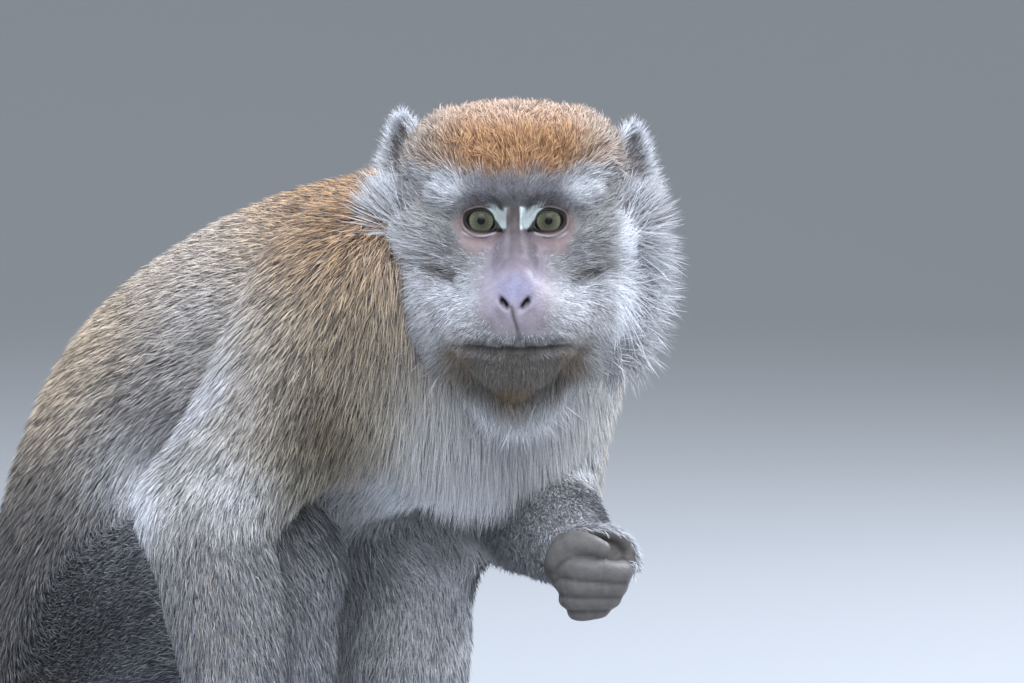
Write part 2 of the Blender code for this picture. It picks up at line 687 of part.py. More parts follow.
def make_head(grown):
    """Eyes, head and ears."""
    made = []
    for side, sign in SIDES:
        made.append(part("eye_" + side, "eye", [eye_shape(sign)], ()))
    eyes = [eye_shape(sign, GAP) for side, sign in SIDES]
    made.append(part("head", "coat_crown", [head_shape()], grown + eyes))
    grown.append(head_shape(GAP))
    for side, sign in SIDES:
        shell, bowl = ear_shape(sign), ear_bowl_shape(sign)
        made.append(part("ear_" + side, "coat_pale", [shell], grown, hollow=bowl))
    return made


def make_arms(grown):
    """Both arms, the right hand on the ground and the left fist."""
    made = []
    arms = (
        ("right", UPPER_ARM_RIGHT, FOREARM_RIGHT, RIGHT_ARM_LIE, hand_shapes, 0.0),
        ("left", UPPER_ARM_LEFT, FOREARM_LEFT, LEFT_ARM_LIE, fist_shapes, None),
    )
    for side, upper, lower, lie, hand, floor in arms:
        shape = limb(upper, across=lie[0])
        made.append(part("upper_arm_" + side, "coat_limb", [shape], grown))
        grown.append(limb(upper, across=lie[0], grow=GAP))
        shape = limb(lower, across=lie[1])
        made.append(part("forearm_" + side, "coat_limb", [shape], grown))
        grown.append(limb(lower, across=lie[1], grow=GAP))
        made.append(part("hand_" + side, "bare_skin", hand(), grown, floor=floor))
    return made


def make_legs(grown):
    """Both legs, with the feet flat on the ground."""
    made = []
    for side, _ in SIDES:
        thigh, shin = leg_path(side, "thigh"), leg_path(side, "shin")
        made.append(part("thigh_" + side, "coat_limb", [limb(thigh)], grown, floor=SKIN_LOW))
        grown.append(limb(thigh, grow=GAP))
        made.append(part("shin_" + side, "coat_limb", [limb(shin)], grown))
        grown.append(limb(shin, grow=GAP))
        made.append(part("foot_" + side, "bare_skin", foot_shapes(side), grown, floor=0.0))
    return made


def make_tail(grown):
    """The tail's lengths."""
    made = []
    for index in range(TAIL_PARTS):
        name = f"tail_{index + 1}"
        made.append(part(name, "coat_back", [tail_shape(index)], grown, floor=0.0))
    return made


def centre_over_floor(made):
    """Parents every solid to one empty that puts the middle of their bounds over the origin."""
    corners = np.array([o.matrix_basis @ Vector(c) for o in made for c in o.bound_box])
    middle = (corners.min(axis=0) + corners.max(axis=0)) / 2
    holder = bpy.data.objects.new("macaque", None)
    bpy.context.scene.collection.objects.link(holder)
    holder.location = (-middle[0], -middle[1], 0.0)
    for child in made:
        child.parent = holder


def main():
    """Clears the scene and builds the animal."""
    for old in list(bpy.data.objects):
        bpy.data.objects.remove(old, do_unlink=True)
    made, grown = [], []
    for make in (make_seat, make_torso, make_head, make_arms, make_legs, make_tail):
        made += make(grown)
    centre_over_floor(made)


main()
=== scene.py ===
"""Looks of a sitting long-tailed macaque: skin, eyes, coat, floor, light and camera.

Written as an add-on and run as a script. Body coordinates are those of the animal's own frame, which
faces -Y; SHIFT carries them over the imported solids. Head coordinates run right, up and forward, as the
head's viewer sees them, from the point between the eyes. Lengths are in metres.
"""

import math

import bpy
import numpy as np
from bpy.props import FloatProperty, FloatVectorProperty, PointerProperty
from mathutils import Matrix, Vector


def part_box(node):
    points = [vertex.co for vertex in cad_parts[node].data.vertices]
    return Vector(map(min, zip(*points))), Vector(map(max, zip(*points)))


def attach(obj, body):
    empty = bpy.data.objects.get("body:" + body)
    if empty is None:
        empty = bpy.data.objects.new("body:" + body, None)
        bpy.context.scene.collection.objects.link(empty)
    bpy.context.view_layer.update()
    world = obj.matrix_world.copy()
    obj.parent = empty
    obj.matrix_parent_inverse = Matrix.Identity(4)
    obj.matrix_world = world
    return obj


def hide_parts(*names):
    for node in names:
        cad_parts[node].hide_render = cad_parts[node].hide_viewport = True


bl_info = {
    "name": "Sitting macaque",
    "version": (1, 0, 0),
    "blender": (4, 5, 0),
    "location": "3D View > Sidebar > Macaque",
    "description": "Skin, eyes, coat and stage of a life-size sitting macaque",
    "category": "Object",
}

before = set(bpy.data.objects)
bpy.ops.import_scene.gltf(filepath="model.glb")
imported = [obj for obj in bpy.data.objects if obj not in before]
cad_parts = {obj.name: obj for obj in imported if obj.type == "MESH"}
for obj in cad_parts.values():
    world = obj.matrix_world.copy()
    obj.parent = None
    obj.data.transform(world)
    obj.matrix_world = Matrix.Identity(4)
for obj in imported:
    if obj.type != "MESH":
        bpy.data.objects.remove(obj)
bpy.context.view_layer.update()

# ---------------------------------------------------------------- the animal's frame
HEAD_POINT = np.array((-0.0527, -0.0491, 0.333))  # between the eyes, in body coordinates
EYE_OUT, EYE_BACK, EYE_RADIUS = 0.0165, 0.0092, 0.0095
HEAD_TURN = math.radians(-45.0)
HEAD_AXES = np.array(  # rows: right, up and forward of the head
    (
        (math.cos(HEAD_TURN), math.sin(HEAD_TURN), 0.0),
        (0.0, 0.0, 1.0),
        (math.sin(HEAD_TURN), -math.cos(HEAD_TURN), 0.0),
    )
)


def node_middle(name):
    """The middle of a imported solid's box."""
    low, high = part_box(name)
    return (np.array(low) + np.array(high)) / 2


EYES_MIDDLE = (node_middle("eye_right") + node_middle("eye_left")) / 2
SHIFT = EYES_MIDDLE + HEAD_AXES[2] * EYE_BACK - HEAD_POINT


def to_head(points):
    """Body coordinates to head coordinates."""
    return (points - HEAD_POINT) @ HEAD_AXES.T


def from_head(points):
    """Head coordinates to body coordinates."""
    return points @ HEAD_AXES + HEAD_POINT


# Tubes of flesh and coat: across, along, up, half width, half depth
TORSO = (
    (0.0, 0.266, 0.052, 0.084, 0.070),
    (0.0, 0.266, 0.092, 0.105, 0.090),
    (0.0, 0.258, 0.150, 0.102, 0.093),
    (0.0, 0.232, 0.204, 0.095, 0.092),
    (0.0, 0.174, 0.243, 0.091, 0.089),
    (0.0, 0.106, 0.264, 0.089, 0.088),
    (0.0, 0.046, 0.270, 0.078, 0.081),
)
NECK = (
    (0.002, 0.062, 0.292, 0.068, 0.060),
    (-0.008, 0.030, 0.297, 0.064, 0.058),
    (-0.014, 0.006, 0.300, 0.058, 0.055),
)
UPPER_ARM_RIGHT = (
    (-0.060, 0.056, 0.284, 0.050, 0.056),
    (-0.082, 0.070, 0.252, 0.044, 0.052),
    (-0.108, 0.086, 0.214, 0.036, 0.040),
    (-0.124, 0.100, 0.190, 0.031, 0.033),
)
FOREARM_RIGHT = (
    (-0.125, 0.098, 0.180, 0.026, 0.027),
    (-0.126, 0.084, 0.143, 0.029, 0.032),
    (-0.127, 0.073, 0.095, 0.024, 0.026),
    (-0.127, 0.065, 0.048, 0.018, 0.019),
    (-0.127, 0.058, 0.026, 0.017, 0.015),
)
UPPER_ARM_LEFT = (
    (0.058, 0.052, 0.276, 0.048, 0.054),
    (0.074, 0.060, 0.240, 0.042, 0.049),
    (0.088, 0.074, 0.200, 0.034, 0.038),
    (0.092, 0.086, 0.176, 0.031, 0.033),
)
FOREARM_LEFT = (
    (0.088, 0.080, 0.173, 0.026, 0.027),
    (0.062, 0.046, 0.171, 0.029, 0.031),
    (0.030, -0.002, 0.167, 0.024, 0.026),
    (0.006, -0.038, 0.163, 0.018, 0.020),
    (0.000, -0.047, 0.162, 0.017, 0.019),
)
LEGS = {  # which side, knee and ankle
    "right": (-1.0, (-0.060, 0.116, 0.156), (-0.062, 0.116, 0.036)),
    "left": (1.0, (0.059, 0.139, 0.156), (0.060, 0.140, 0.036)),
}
HIP = (0.058, 0.250, 0.088)
THIGH_RADII = ((0.050, 0.056), (0.048, 0.058), (0.040, 0.046), (0.033, 0.036))
SHIN_RADII = ((0.028, 0.029), (0.032, 0.037), (0.0175, 0.0205))
KNEE_DROP = 0.012  # how far below the knee's middle the shin starts
THIGH_BOW, SHIN_BOW = (0.006, 0.006, 0.010), (0.0, 0.004, 0.0)  # outward, back and up
TAIL = (
    (0.0, 0.318, 0.040, 0.0175),
    (0.004, 0.350, 0.0138, 0.0150),
    (0.026, 0.386, 0.0123, 0.0135),
    (0.068, 0.400, 0.0113, 0.0125),
    (0.114, 0.386, 0.0104, 0.0116),
    (0.146, 0.350, 0.0096, 0.0108),
    (0.160, 0.300, 0.0088, 0.0100),
    (0.164, 0.246, 0.0080, 0.0092),
    (0.160, 0.192, 0.0072, 0.0084),
    (0.152, 0.142, 0.0062, 0.0074),
    (0.140, 0.100, 0.0048, 0.0060),
)

HEAD_CENTRE = np.array((0.0, -0.014, -0.034))  # where the rays that find the head's skin start
HEAD_BLEND = 0.0042  # how widely the head's lumps melt together
HEAD_MIDDLE = {  # lumps of the head: centre and half sizes, in head coordinates, coat included
    "cranium": ((0.0, 0.015, -0.053), (0.051, 0.044, 0.058)),
    "brow": ((0.0, 0.0125, -0.008), (0.042, 0.0095, 0.0135)),
    "face": ((0.0, -0.020, -0.015), (0.035, 0.034, 0.024)),
    "bridge_top": ((0.0, -0.004, -0.003), (0.0065, 0.012, 0.0085)),
    "bridge": ((0.0, -0.017, 0.011), (0.0085, 0.013, 0.011)),
    "nose": ((0.0, -0.029, 0.027), (0.0100, 0.010, 0.0115)),
    "muzzle": ((0.0, -0.044, 0.010), (0.029, 0.021, 0.029)),
    "lip": ((0.0, -0.046, 0.024), (0.024, 0.0125, 0.0185)),
    "chin": ((0.0, -0.066, 0.009), (0.023, 0.0170, 0.0215)),
    "throat": ((0.0, -0.060, -0.030), (0.035, 0.031, 0.036)),
    "nape": ((0.0, -0.002, -0.082), (0.046, 0.046, 0.036)),
}
HEAD_PAIRS = {  # lumps on both sides
    "temple": ((0.025, 0.026, -0.046), (0.031, 0.029, 0.043)),
    "cheekbone": ((0.036, -0.010, -0.024), (0.020, 0.018, 0.023)),
    "side": ((0.0375, 0.009, -0.040), (0.0175, 0.021, 0.025)),
    "muzzle_side": ((0.0185, -0.048, 0.008), (0.0170, 0.0165, 0.0230)),
    "jaw": ((0.029, -0.044, -0.026), (0.026, 0.030, 0.038)),
    "jowl": ((0.0385, -0.028, -0.036), (0.0185, 0.026, 0.028)),
}
HEAD_HOLLOWS = {  # taken away on both sides
    "socket": ((0.0175, -0.0005, 0.0045), (0.0115, 0.0085, 0.0085)),
    "cheek_hollow": ((0.0375, -0.0255, 0.0115), (0.010, 0.008, 0.012)),
}

FOOT_LENGTH, FOOT_HALF_WIDTH, TOE_RADIUS = 0.142, 0.0170, 0.0052
FINGER_RADIUS, PALM_HALF_WIDTH = 0.0050, 0.0185
HAND_SPREAD = math.radians(5.0)  # angle between neighbouring fingers or toes on the ground
SINK = 0.0012  # how far digits are flattened on the ground
TIP_SHARE = 0.72  # a digit's thickness at its tip, as a share of its root's
WRIST, KNUCKLES = np.array((-0.127, 0.052, 0.020)), np.array((-0.129, 0.010, 0.0085))
FINGER_LENGTHS, TOE_LENGTHS = (0.030, 0.036, 0.038, 0.033), (0.030, 0.035, 0.036, 0.031)
# Roots of the four digits: how far apart, behind the knuckles, curved back at the sides, and below
FINGER_ROOTS, TOE_ROOTS = (0.0097, 0.001, 0.0012, 0.0022), (0.0094, 0.002, 0.0, 0.0030)
FINGER_RISE, TOE_RISE = 0.0030, 0.0028  # how far the knuckle of each digit is lifted
THUMB_ROOT, THUMB_REACH = (0.012, 0.0, -0.004), (0.014, -0.019, 0.0)
GREAT_TOE_ROOT, GREAT_TOE_REACH = (-0.012, 0.0, -0.006), (-0.012, -0.027, 0.0)
HEEL_BACK, HEEL_UP, BALL_OUT, BALL_UP = 0.030, 0.0155, 0.004, 0.0095
FIST_CENTRE = np.array((-0.0165, -0.0695, 0.1585))
# Each curled finger of the fist: height, half width, middle, forward reach, radius, rise to the tip
FIST_FINGERS = (
    (0.0024, 0.0145, 0.0012, 0.0125, 0.0054, 0.0016),
    (-0.0056, 0.0136, 0.0022, 0.0120, 0.0048, 0.0004),
    (-0.0124, 0.0112, 0.0030, 0.0105, 0.0045, -0.0004),
    (-0.0180, 0.0062, 0.0038, 0.0070, 0.0043, -0.0010),
)
FIST_NAIL = (0.0010, 0.0185, 0.0060)  # its middle, in the fist's own axes
# Tubes of the fist: along the forearm, across it, up, and half sizes
FIST_PALM = ((-0.006, 0.002, -0.0035, 0.0150, 0.0140), (0.000, 0.002, -0.0040, 0.0135, 0.0125))
FIST_BACK = ((-0.020, -0.002, 0.0030, 0.0165, 0.0165), (-0.011, -0.001, 0.0035, 0.0180, 0.0178))
FIST_HEEL = ((-0.010, 0.0130, 0.0000, 0.0100, 0.0090), (-0.003, 0.0165, 0.0045, 0.0085, 0.0072))
FIST_THUMB = (
    (-0.005, 0.0190, 0.0030, 0.0064, 0.0060),
    (0.001, 0.0180, 0.0100, 0.0070, 0.0064),
    (0.005, 0.0125, 0.0150, 0.0068, 0.0062),
    (0.008, 0.0055, 0.0150, 0.0056, 0.0054),
    (0.009, -0.0010, 0.0128, 0.0044, 0.0044),
)
FIST_ARCH = (
    (-0.007, 0.0165, 0.0150, 0.0036, 0.0044),
    (-0.004, 0.0080, 0.0198, 0.0034, 0.0044),
    (-0.003, -0.0030, 0.0205, 0.0034, 0.0044),
    (-0.004, -0.0120, 0.0175, 0.0034, 0.0044),
    (-0.005, -0.0172, 0.0115, 0.0036, 0.0044),
    (-0.005, -0.0180, 0.0040, 0.0042, 0.0048),
)

SKIN_JOIN = 0.010  # how softly neighbouring tubes of flesh run together
FLESH_LOW = 0.0008  # the body's skin comes no nearer the ground than this


# ---------------------------------------------------------------- small tools
def unit(vectors):
    """Vectors of length one."""
    return vectors / np.maximum(np.linalg.norm(vectors, axis=-1, keepdims=True), 1e-12)


def smooth(low, high, value):
    """0 below low, 1 above high and an S-shaped run between."""
    share = np.clip((value - low) / (high - low), 0.0, 1.0)
    return share * share * (3.0 - 2.0 * share)


def bell(value, size, power=2):
    """1 at zero, falling off smoothly over the given size to both sides."""
    return np.exp(-((value / size) ** power))


def round_angles(sides):
    """So many even angles of a full turn."""
    return np.arange(sides) * 2 * math.pi / sides


def ring_quads(index, flipped=False):
    """Quads between neighbouring rings of vertices, each ring closed on itself."""
    near, far = index[:-1], index[1:]
    near_next, far_next = np.roll(near, -1, 1), np.roll(far, -1, 1)
    corners = [near, near_next, far_next, far] if flipped else [near, far, far_next, near_next]
    return np.stack(corners, -1).reshape(-1, 4)


def fan(row, pole):
    """Triangles from a ring of vertices to the one at its middle."""
    return np.stack([row, np.roll(row, -1), np.full(len(row), pole)], 1)


def closed_net(verts, index, flipped=False):
    """The vertices and faces of rings closed at both ends by a vertex in the middle."""
    first, last = (index[0][::-1], index[-1]) if flipped else (index[0], index[-1][::-1])
    count = len(verts)
    faces = [ring_quads(index, flipped), fan(first, count), fan(last, count + 1)]
    return np.vstack([verts, verts[index[0]].mean(0), verts[index[-1]].mean(0)]), faces


def linear(hex_colour):
    """An sRGB hex colour as linear values."""
    values = np.array([int(hex_colour[i : i + 2], 16) for i in (0, 2, 4)]) / 255.0
    return np.where(values <= 0.04045, values / 12.92, ((values + 0.055) / 1.055) ** 2.4)


def curve_through(rows, steps):
    """A smooth (Catmull-Rom) run through rows of numbers, with so many steps in each span."""
    rows = np.array(rows, float)
    ends = np.vstack([2 * rows[0] - rows[1], rows, 2 * rows[-1] - rows[-2]])
    share = np.arange(steps)[:, None] / steps
    spans = []
    for p0, p1, p2, p3 in zip(ends, ends[1:], ends[2:], ends[3:]):
        spans.append(
            p1
            + 0.5 * share * (p2 - p0)
            + share**2 * (p0 - 2.5 * p1 + 2 * p2 - 0.5 * p3)
            + share**3 * (1.5 * (p1 - p2) + 0.5 * (p3 - p0))
        )
    return np.vstack(spans + [rows[-1:]])


# ---------------------------------------------------------------- fields of flesh
class Tube:
    """A tube with an elliptical section along a smooth path, with rounded ends."""

    def __init__(self, rows, across=(1.0, 0.0, 0.0), depth=0.0, caps=None, steps=3):
        path = curve_through(rows, steps)
        self.centres = path[:, :3]
        self.halves = np.maximum(path[:, 3:5] - depth, 0.002)
        self.along = unit(np.gradient(self.centres, axis=0))
        across = np.array(across, float)
        self.side = unit(across - (self.along @ across)[:, None] * self.along)
        self.rise = np.cross(self.along, self.side)
        ends = (self.halves[0].min(), self.halves[-1].min())
        self.caps = ends if caps is None else tuple(np.array(caps) - depth)
        reach = self.halves.max() + max(self.caps)
        self.low, self.high = self.centres.min(0) - reach, self.centres.max(0) + reach

    def near(self, points):
        """Distance, share along the path, and angle round it, of each point."""
        best = np.full(len(points), 1e9)
        share, angle = np.zeros(len(points)), np.zeros(len(points))
        last = len(self.centres) - 2
        for i in range(last + 1):
            start, end = self.centres[i], self.centres[i + 1]
            span = end - start
            t = np.clip((points - start) @ span / (span @ span), 0.0, 1.0)
            offset = points - start - t[:, None] * span
            half = self.halves[i] + t[:, None] * (self.halves[i + 1] - self.halves[i])
            across, up = offset @ self.side[i], offset @ self.rise[i]
            beyond = offset @ unit(span)
            cap = self.caps[0] if i == 0 else self.caps[1]
            inner = np.sqrt((across / half[:, 0]) ** 2 + (up / half[:, 1]) ** 2 + (beyond / cap) ** 2)
            steep = np.sqrt(
                (across / half[:, 0] ** 2) ** 2
                + (up / half[:, 1] ** 2) ** 2
                + (beyond / cap**2) ** 2
            )
            distance = inner * (inner - 1.0) / np.maximum(steep, 1e-6)
            distance = np.where(inner < 1e-3, -half.min(axis=1), distance)
            closer = distance < best
            best = np.where(closer, distance, best)
            share = np.where(closer, (i + t) / (last + 1), share)
            angle = np.where(closer, np.arctan2(up, across), angle)
        return best, share, angle

    def distance(self, points):
        """Distance outside the tube, worked out only near it."""
        found = np.full(len(points), 0.05)
        close = np.all((points > self.low - 0.03) & (points < self.high + 0.03), axis=1)
        if close.any():
            found[close] = self.near(points[close])[0]
        return found


def lump_distance(points, centre, half):
    """Nearly the distance outside an ellipsoid, negative inside it."""
    offset = points - centre
    inner = np.linalg.norm(offset / half, axis=-1)
    steep = np.linalg.norm(offset / np.square(half), axis=-1)
    return inner * (inner - 1.0) / np.maximum(steep, 1e-9)


def melted(distances, softness):
    """The union of shapes given by their distances, run together softly."""
    distances = np.array(distances)
    least = distances.min(axis=0)
    return least - softness * np.log(np.exp(-(distances - least) / softness).sum(axis=0))


def gradient(field, points, step=4e-4):
    """The field's slope at each point, by differences."""
    slope = np.empty_like(points)
    for axis in range(3):
        offset = np.zeros(3)
        offset[axis] = step
        slope[:, axis] = (field(points + offset) - field(points - offset)) / (2 * step)
    return slope


def net_surface(field, low, high, step):
    """The field's zero surface as a net of quads: a vertex in each grid cell that it crosses."""
    low, high = np.array(low, float), np.array(high, float)
    counts = (np.ceil((high - low) / step / 4).astype(int) + 1) * 4
    coarse = [low[i] + 4 * step * (np.arange(counts[i] // 4) + 0.375) for i in range(3)]
    centres = np.stack(np.meshgrid(*coarse, indexing="ij"), -1).reshape(-1, 3)
    rough = field(centres).reshape(counts // 4)
    for axis in range(3):
        rough = np.repeat(rough, 4, axis=axis)
    close = np.abs(rough) < 7.5 * step
    values = rough.copy()
    values[close] = field(low + step * np.argwhere(close))
    inside = values < 0
    corners = [np.array((i, j, k)) for i in (0, 1) for j in (0, 1) for k in (0, 1)]
    size = counts - 1
    filled = sum(
        inside[c[0] : c[0] + size[0], c[1] : c[1] + size[1], c[2] : c[2] + size[2]].astype(int)
        for c in corners
    )
    active = (filled > 0) & (filled < 8)
    cells = np.argwhere(active)
    index = np.full(active.shape, -1)
    index[active] = np.arange(len(cells))
    total, hits = np.zeros((len(cells), 3)), np.zeros((len(cells), 1))
    for a in corners:
        for b in corners:
            if (b - a).sum() != 1 or (b - a).min() < 0:
                continue
            va, vb = values[tuple((cells + a).T)], values[tuple((cells + b).T)]
            crossed = ((va < 0) != (vb < 0))[:, None]
            t = (va / np.where(va == vb, 1.0, va - vb))[:, None]
            total += np.where(crossed, a + t * (b - a), 0.0)
            hits += crossed
    verts = low + step * (cells + total / np.maximum(hits, 1))
    faces = []
    for axis in range(3):
        one, two = np.eye(3, dtype=int)[[(axis + 1) % 3, (axis + 2) % 3]]
        along = np.eye(3, dtype=int)[axis]
        starts = np.argwhere(np.diff(inside, axis=axis))
        starts = starts[(starts[:, (axis + 1) % 3] > 0) & (starts[:, (axis + 2) % 3] > 0)]
        starts = starts[np.all(starts + along < counts, axis=1) & np.all(starts < size, axis=1)]
        around = [starts, starts - one, starts - one - two, starts - two]
        quads = np.stack([index[tuple(a.T)] for a in around], axis=1)
        outward = inside[tuple(starts.T)]
        quads = np.where(outward[:, None], quads, quads[:, ::-1])
        faces.append(quads[(quads >= 0).all(axis=1)])
    for _ in range(3):
        slope = gradient(field, verts, step / 3)
        steep = np.maximum((slope**2).sum(1), 0.05)
        verts = verts - np.clip(field(verts) / steep, -step, step)[:, None] * slope
    return verts, np.vstack(faces)


# ---------------------------------------------------------------- the body's parts
def leg_rows(side, part):
    """Rows for a thigh, from the hip to the knee, or a shin, from the knee to the ankle."""
    sign, knee, ankle = LEGS[side]
    hip, knee, ankle = np.array((sign * HIP[0], HIP[1], HIP[2])), np.array(knee), np.array(ankle)
    top = knee - (0.0, 0.0, KNEE_DROP)
    start, end, radii = (hip, knee, THIGH_RADII) if part == "thigh" else (top, ankle, SHIN_RADII)
    share = np.linspace(0.0, 1.0, len(radii))[:, None]
    bow = np.array(THIGH_BOW if part == "thigh" else SHIN_BOW) * (sign, 1.0, 1.0)
    centres = start + share * (end - start) + bow * np.sin(math.pi * share)
    return np.hstack([centres, radii])


def tail_rows():
    """The tail's path with its radius as both half sizes."""
    rows = np.array(TAIL)
    return np.hstack([rows, rows[:, 3:]])


RIGHT_ARM_LIE = ((0.45, -0.80, 0.3), (1.0, 0.0, 0.0))
LEFT_ARM_LIE = ((0.3, -0.9, 0.3), (0.0, 0.0, 1.0))
# Name: rows, direction of the half widths, coat's depth, rounded ends
BODY_TUBES = {
    "torso": (TORSO, (1.0, 0.0, 0.0), 0.0064, (0.048, 0.050)),
    "neck": (NECK, (1.0, 0.0, 0.0), 0.0070, (0.030, 0.016)),
    "upper_arm_right": (UPPER_ARM_RIGHT, RIGHT_ARM_LIE[0], 0.0056, None),
    "forearm_right": (FOREARM_RIGHT, RIGHT_ARM_LIE[1], 0.0042, None),
    "upper_arm_left": (UPPER_ARM_LEFT, LEFT_ARM_LIE[0], 0.0056, None),
    "forearm_left": (FOREARM_LEFT, LEFT_ARM_LIE[1], 0.0042, None),
    "thigh_right": (leg_rows("right", "thigh"), (1.0, 0.0, 0.0), 0.0060, None),
    "shin_right": (leg_rows("right", "shin"), (1.0, 0.0, 0.0), 0.0038, None),
    "thigh_left": (leg_rows("left", "thigh"), (1.0, 0.0, 0.0), 0.0060, None),
    "shin_left": (leg_rows("left", "shin"), (1.0, 0.0, 0.0), 0.0038, None),
    "tail": (tail_rows(), (0.0, 0.0, 1.0), 0.0024, (0.014, 0.010)),
}
TUBES = {name: Tube(*facts[:2], depth=facts[2], caps=facts[3]) for name, facts in BODY_TUBES.items()}


def body_field(points):
    """Below zero inside the body's flesh, without the head, hands and feet."""
    flesh = melted([tube.distance(points) for tube in TUBES.values()], SKIN_JOIN)
    return np.maximum(flesh, FLESH_LOW - points[..., 2])


def digit(start, end, radius, bend=0.0):
    """A finger or toe lying on the ground, its knuckle lifted by the bend."""
    start, end = np.array(start), np.array(end)
    knuckle = start + 0.45 * (end - start) + (0.0, 0.0, bend)
    rows = ((*start, radius, radius), (*knuckle, radius, radius), (*end, radius * 0.8, radius * TIP_SHARE))
    across = np.cross(end - start, (0.0, 0.0, 1.0))
    return Tube(rows, across, depth=0.0002, caps=(radius, radius * 0.9), steps=4)


def four_digits(middle, sign, lengths, radius, roots, rise):
    """Four fingers or toes side by side from the thumb's side outward, fanned over the ground."""
    apart, back, curve, drop = roots
    digits = []
    for i, length in enumerate(lengths):
        place = (i - 1.5) * sign
        turn = place * HAND_SPREAD
        root = middle + (place * apart, back + curve * abs(place), -drop)
        tip = root + np.array((math.sin(turn), -math.cos(turn), 0.0)) * length
        tip[2] = radius * TIP_SHARE - SINK
        digits.append(digit(root, tip, radius, bend=rise))
    return digits


def hand_tubes():
    """The right palm, its four fingers fanned forward and its thumb inward."""
    rows = (
        (*WRIST, 0.0150, 0.0125),
        (*((WRIST + KNUCKLES) / 2), PALM_HALF_WIDTH, 0.0105),
        (*KNUCKLES, PALM_HALF_WIDTH, 0.0078),
    )
    tubes = [Tube(rows, depth=0.0004, caps=(0.014, 0.006), steps=4)]
    tubes += four_digits(KNUCKLES, -1.0, FINGER_LENGTHS, FINGER_RADIUS, FINGER_ROOTS, FINGER_RISE)
    root = WRIST + 0.45 * (KNUCKLES - WRIST) + THUMB_ROOT
    tip = root + THUMB_REACH
    tip[2] = FINGER_RADIUS * TIP_SHARE - SINK
    return tubes + [digit(root, tip, FINGER_RADIUS)]


def foot_tubes(side):
    """A foot flat on the ground: heel and sole, four toes and the great toe set apart."""
    sign, _, ankle = LEGS[side]
    heel = np.array((ankle[0], ankle[1] + HEEL_BACK, HEEL_UP))
    ball = np.array((ankle[0] + sign * BALL_OUT, heel[1] + 0.012 - 0.66 * FOOT_LENGTH, BALL_UP))
    rows = (
        (*heel, 0.0130, 0.0145),
        (*(heel + 0.35 * (ball - heel)), 0.0150, 0.0165),
        (*(heel + 0.70 * (ball - heel)), FOOT_HALF_WIDTH, 0.0120),
        (*ball, FOOT_HALF_WIDTH, 0.0088),
    )
    tubes = [Tube(rows, depth=0.0004, caps=(0.011, 0.006), steps=4)]
    tubes += four_digits(ball, sign, TOE_LENGTHS, TOE_RADIUS, TOE_ROOTS, TOE_RISE)
    outward = np.array((sign, 1.0, 1.0))
    root = heel + 0.62 * (ball - heel) + outward * GREAT_TOE_ROOT
    tip = root + outward * GREAT_TOE_REACH
    tip[2] = TOE_RADIUS * 0.8 - SINK
    return tubes + [digit(root, tip, TOE_RADIUS * 1.12)]


def fist_axes():
    """Rows: along the forearm, across towards the palm, and up."""
    along = np.array(FOREARM_LEFT[-1][:3]) - np.array(FOREARM_LEFT[2][:3])
    along[2] = 0.0
    along = unit(along)
    up = np.array((0.0, 0.0, 1.0))
    return np.array((along, -np.cross(up, along), up))


def fist_tubes():
    """The closed left hand: a palm, four curled fingers one above another, and the thumb on top."""
    axes = fist_axes()

    def placed(rows, **facts):
        rows = np.array(rows)
        rows[:, :3] = rows[:, :3] @ axes + FIST_CENTRE
        return Tube(rows, (0.0, 0.0, 1.0), steps=4, **facts)

    tubes = [placed(FIST_PALM, caps=(0.010, 0.008)), placed(FIST_BACK, caps=(0.006, 0.009))]
    for up, half, middle, reach, radius, rise in FIST_FINGERS:
        angle = np.radians((-96.0, -50.0, -5.0, 40.0, 85.0, 112.0))
        rows = np.stack(
            [
                reach * np.cos(angle),
                middle + half * np.sin(angle),
                up + rise * np.sin(angle),
                radius * np.array((1.0, 1.06, 0.98, 1.0, 0.94, 0.84)),
                radius * np.array((1.0, 1.10, 1.00, 1.04, 0.96, 0.86)),
            ],
            axis=1,
        )
        tubes.append(placed(rows))
    return tubes + [placed(FIST_HEEL), placed(FIST_THUMB), placed(FIST_ARCH)]


# ---------------------------------------------------------------- the head
def mirrored(lumps):
    """Each pair of lumps as two, left and right."""
    for centre, half in lumps.values():
        for sign in (-1.0, 1.0):
            yield np.array(centre) * (sign, 1.0, 1.0), np.array(half)


def bump(points, centre, size):
    """A soft spot: 1 at the centre, falling off as a bell over the given sizes."""
    return np.exp(-(((points - np.array(centre)) / np.array(size)) ** 2).sum(axis=-1))


def mouth_height(x):
    """How high the closed mouth's line runs beside the middle."""
    return -0.0598 + 0.0016 * (np.abs(x) / 0.034) ** 2


def nostril_axes(ax, y):
    """Places along and across a nostril's slit, which slopes down towards the middle."""
    return (ax - 0.0050) * 0.64 + (y + 0.0378) * 0.77, (ax - 0.0050) * 0.77 - (y + 0.0378) * 0.64


def philtrum(y):
    """How far to the side the groove under the nose runs, a little crooked."""
    return -0.0014 + 0.0030 * smooth(-0.040, -0.054, y)


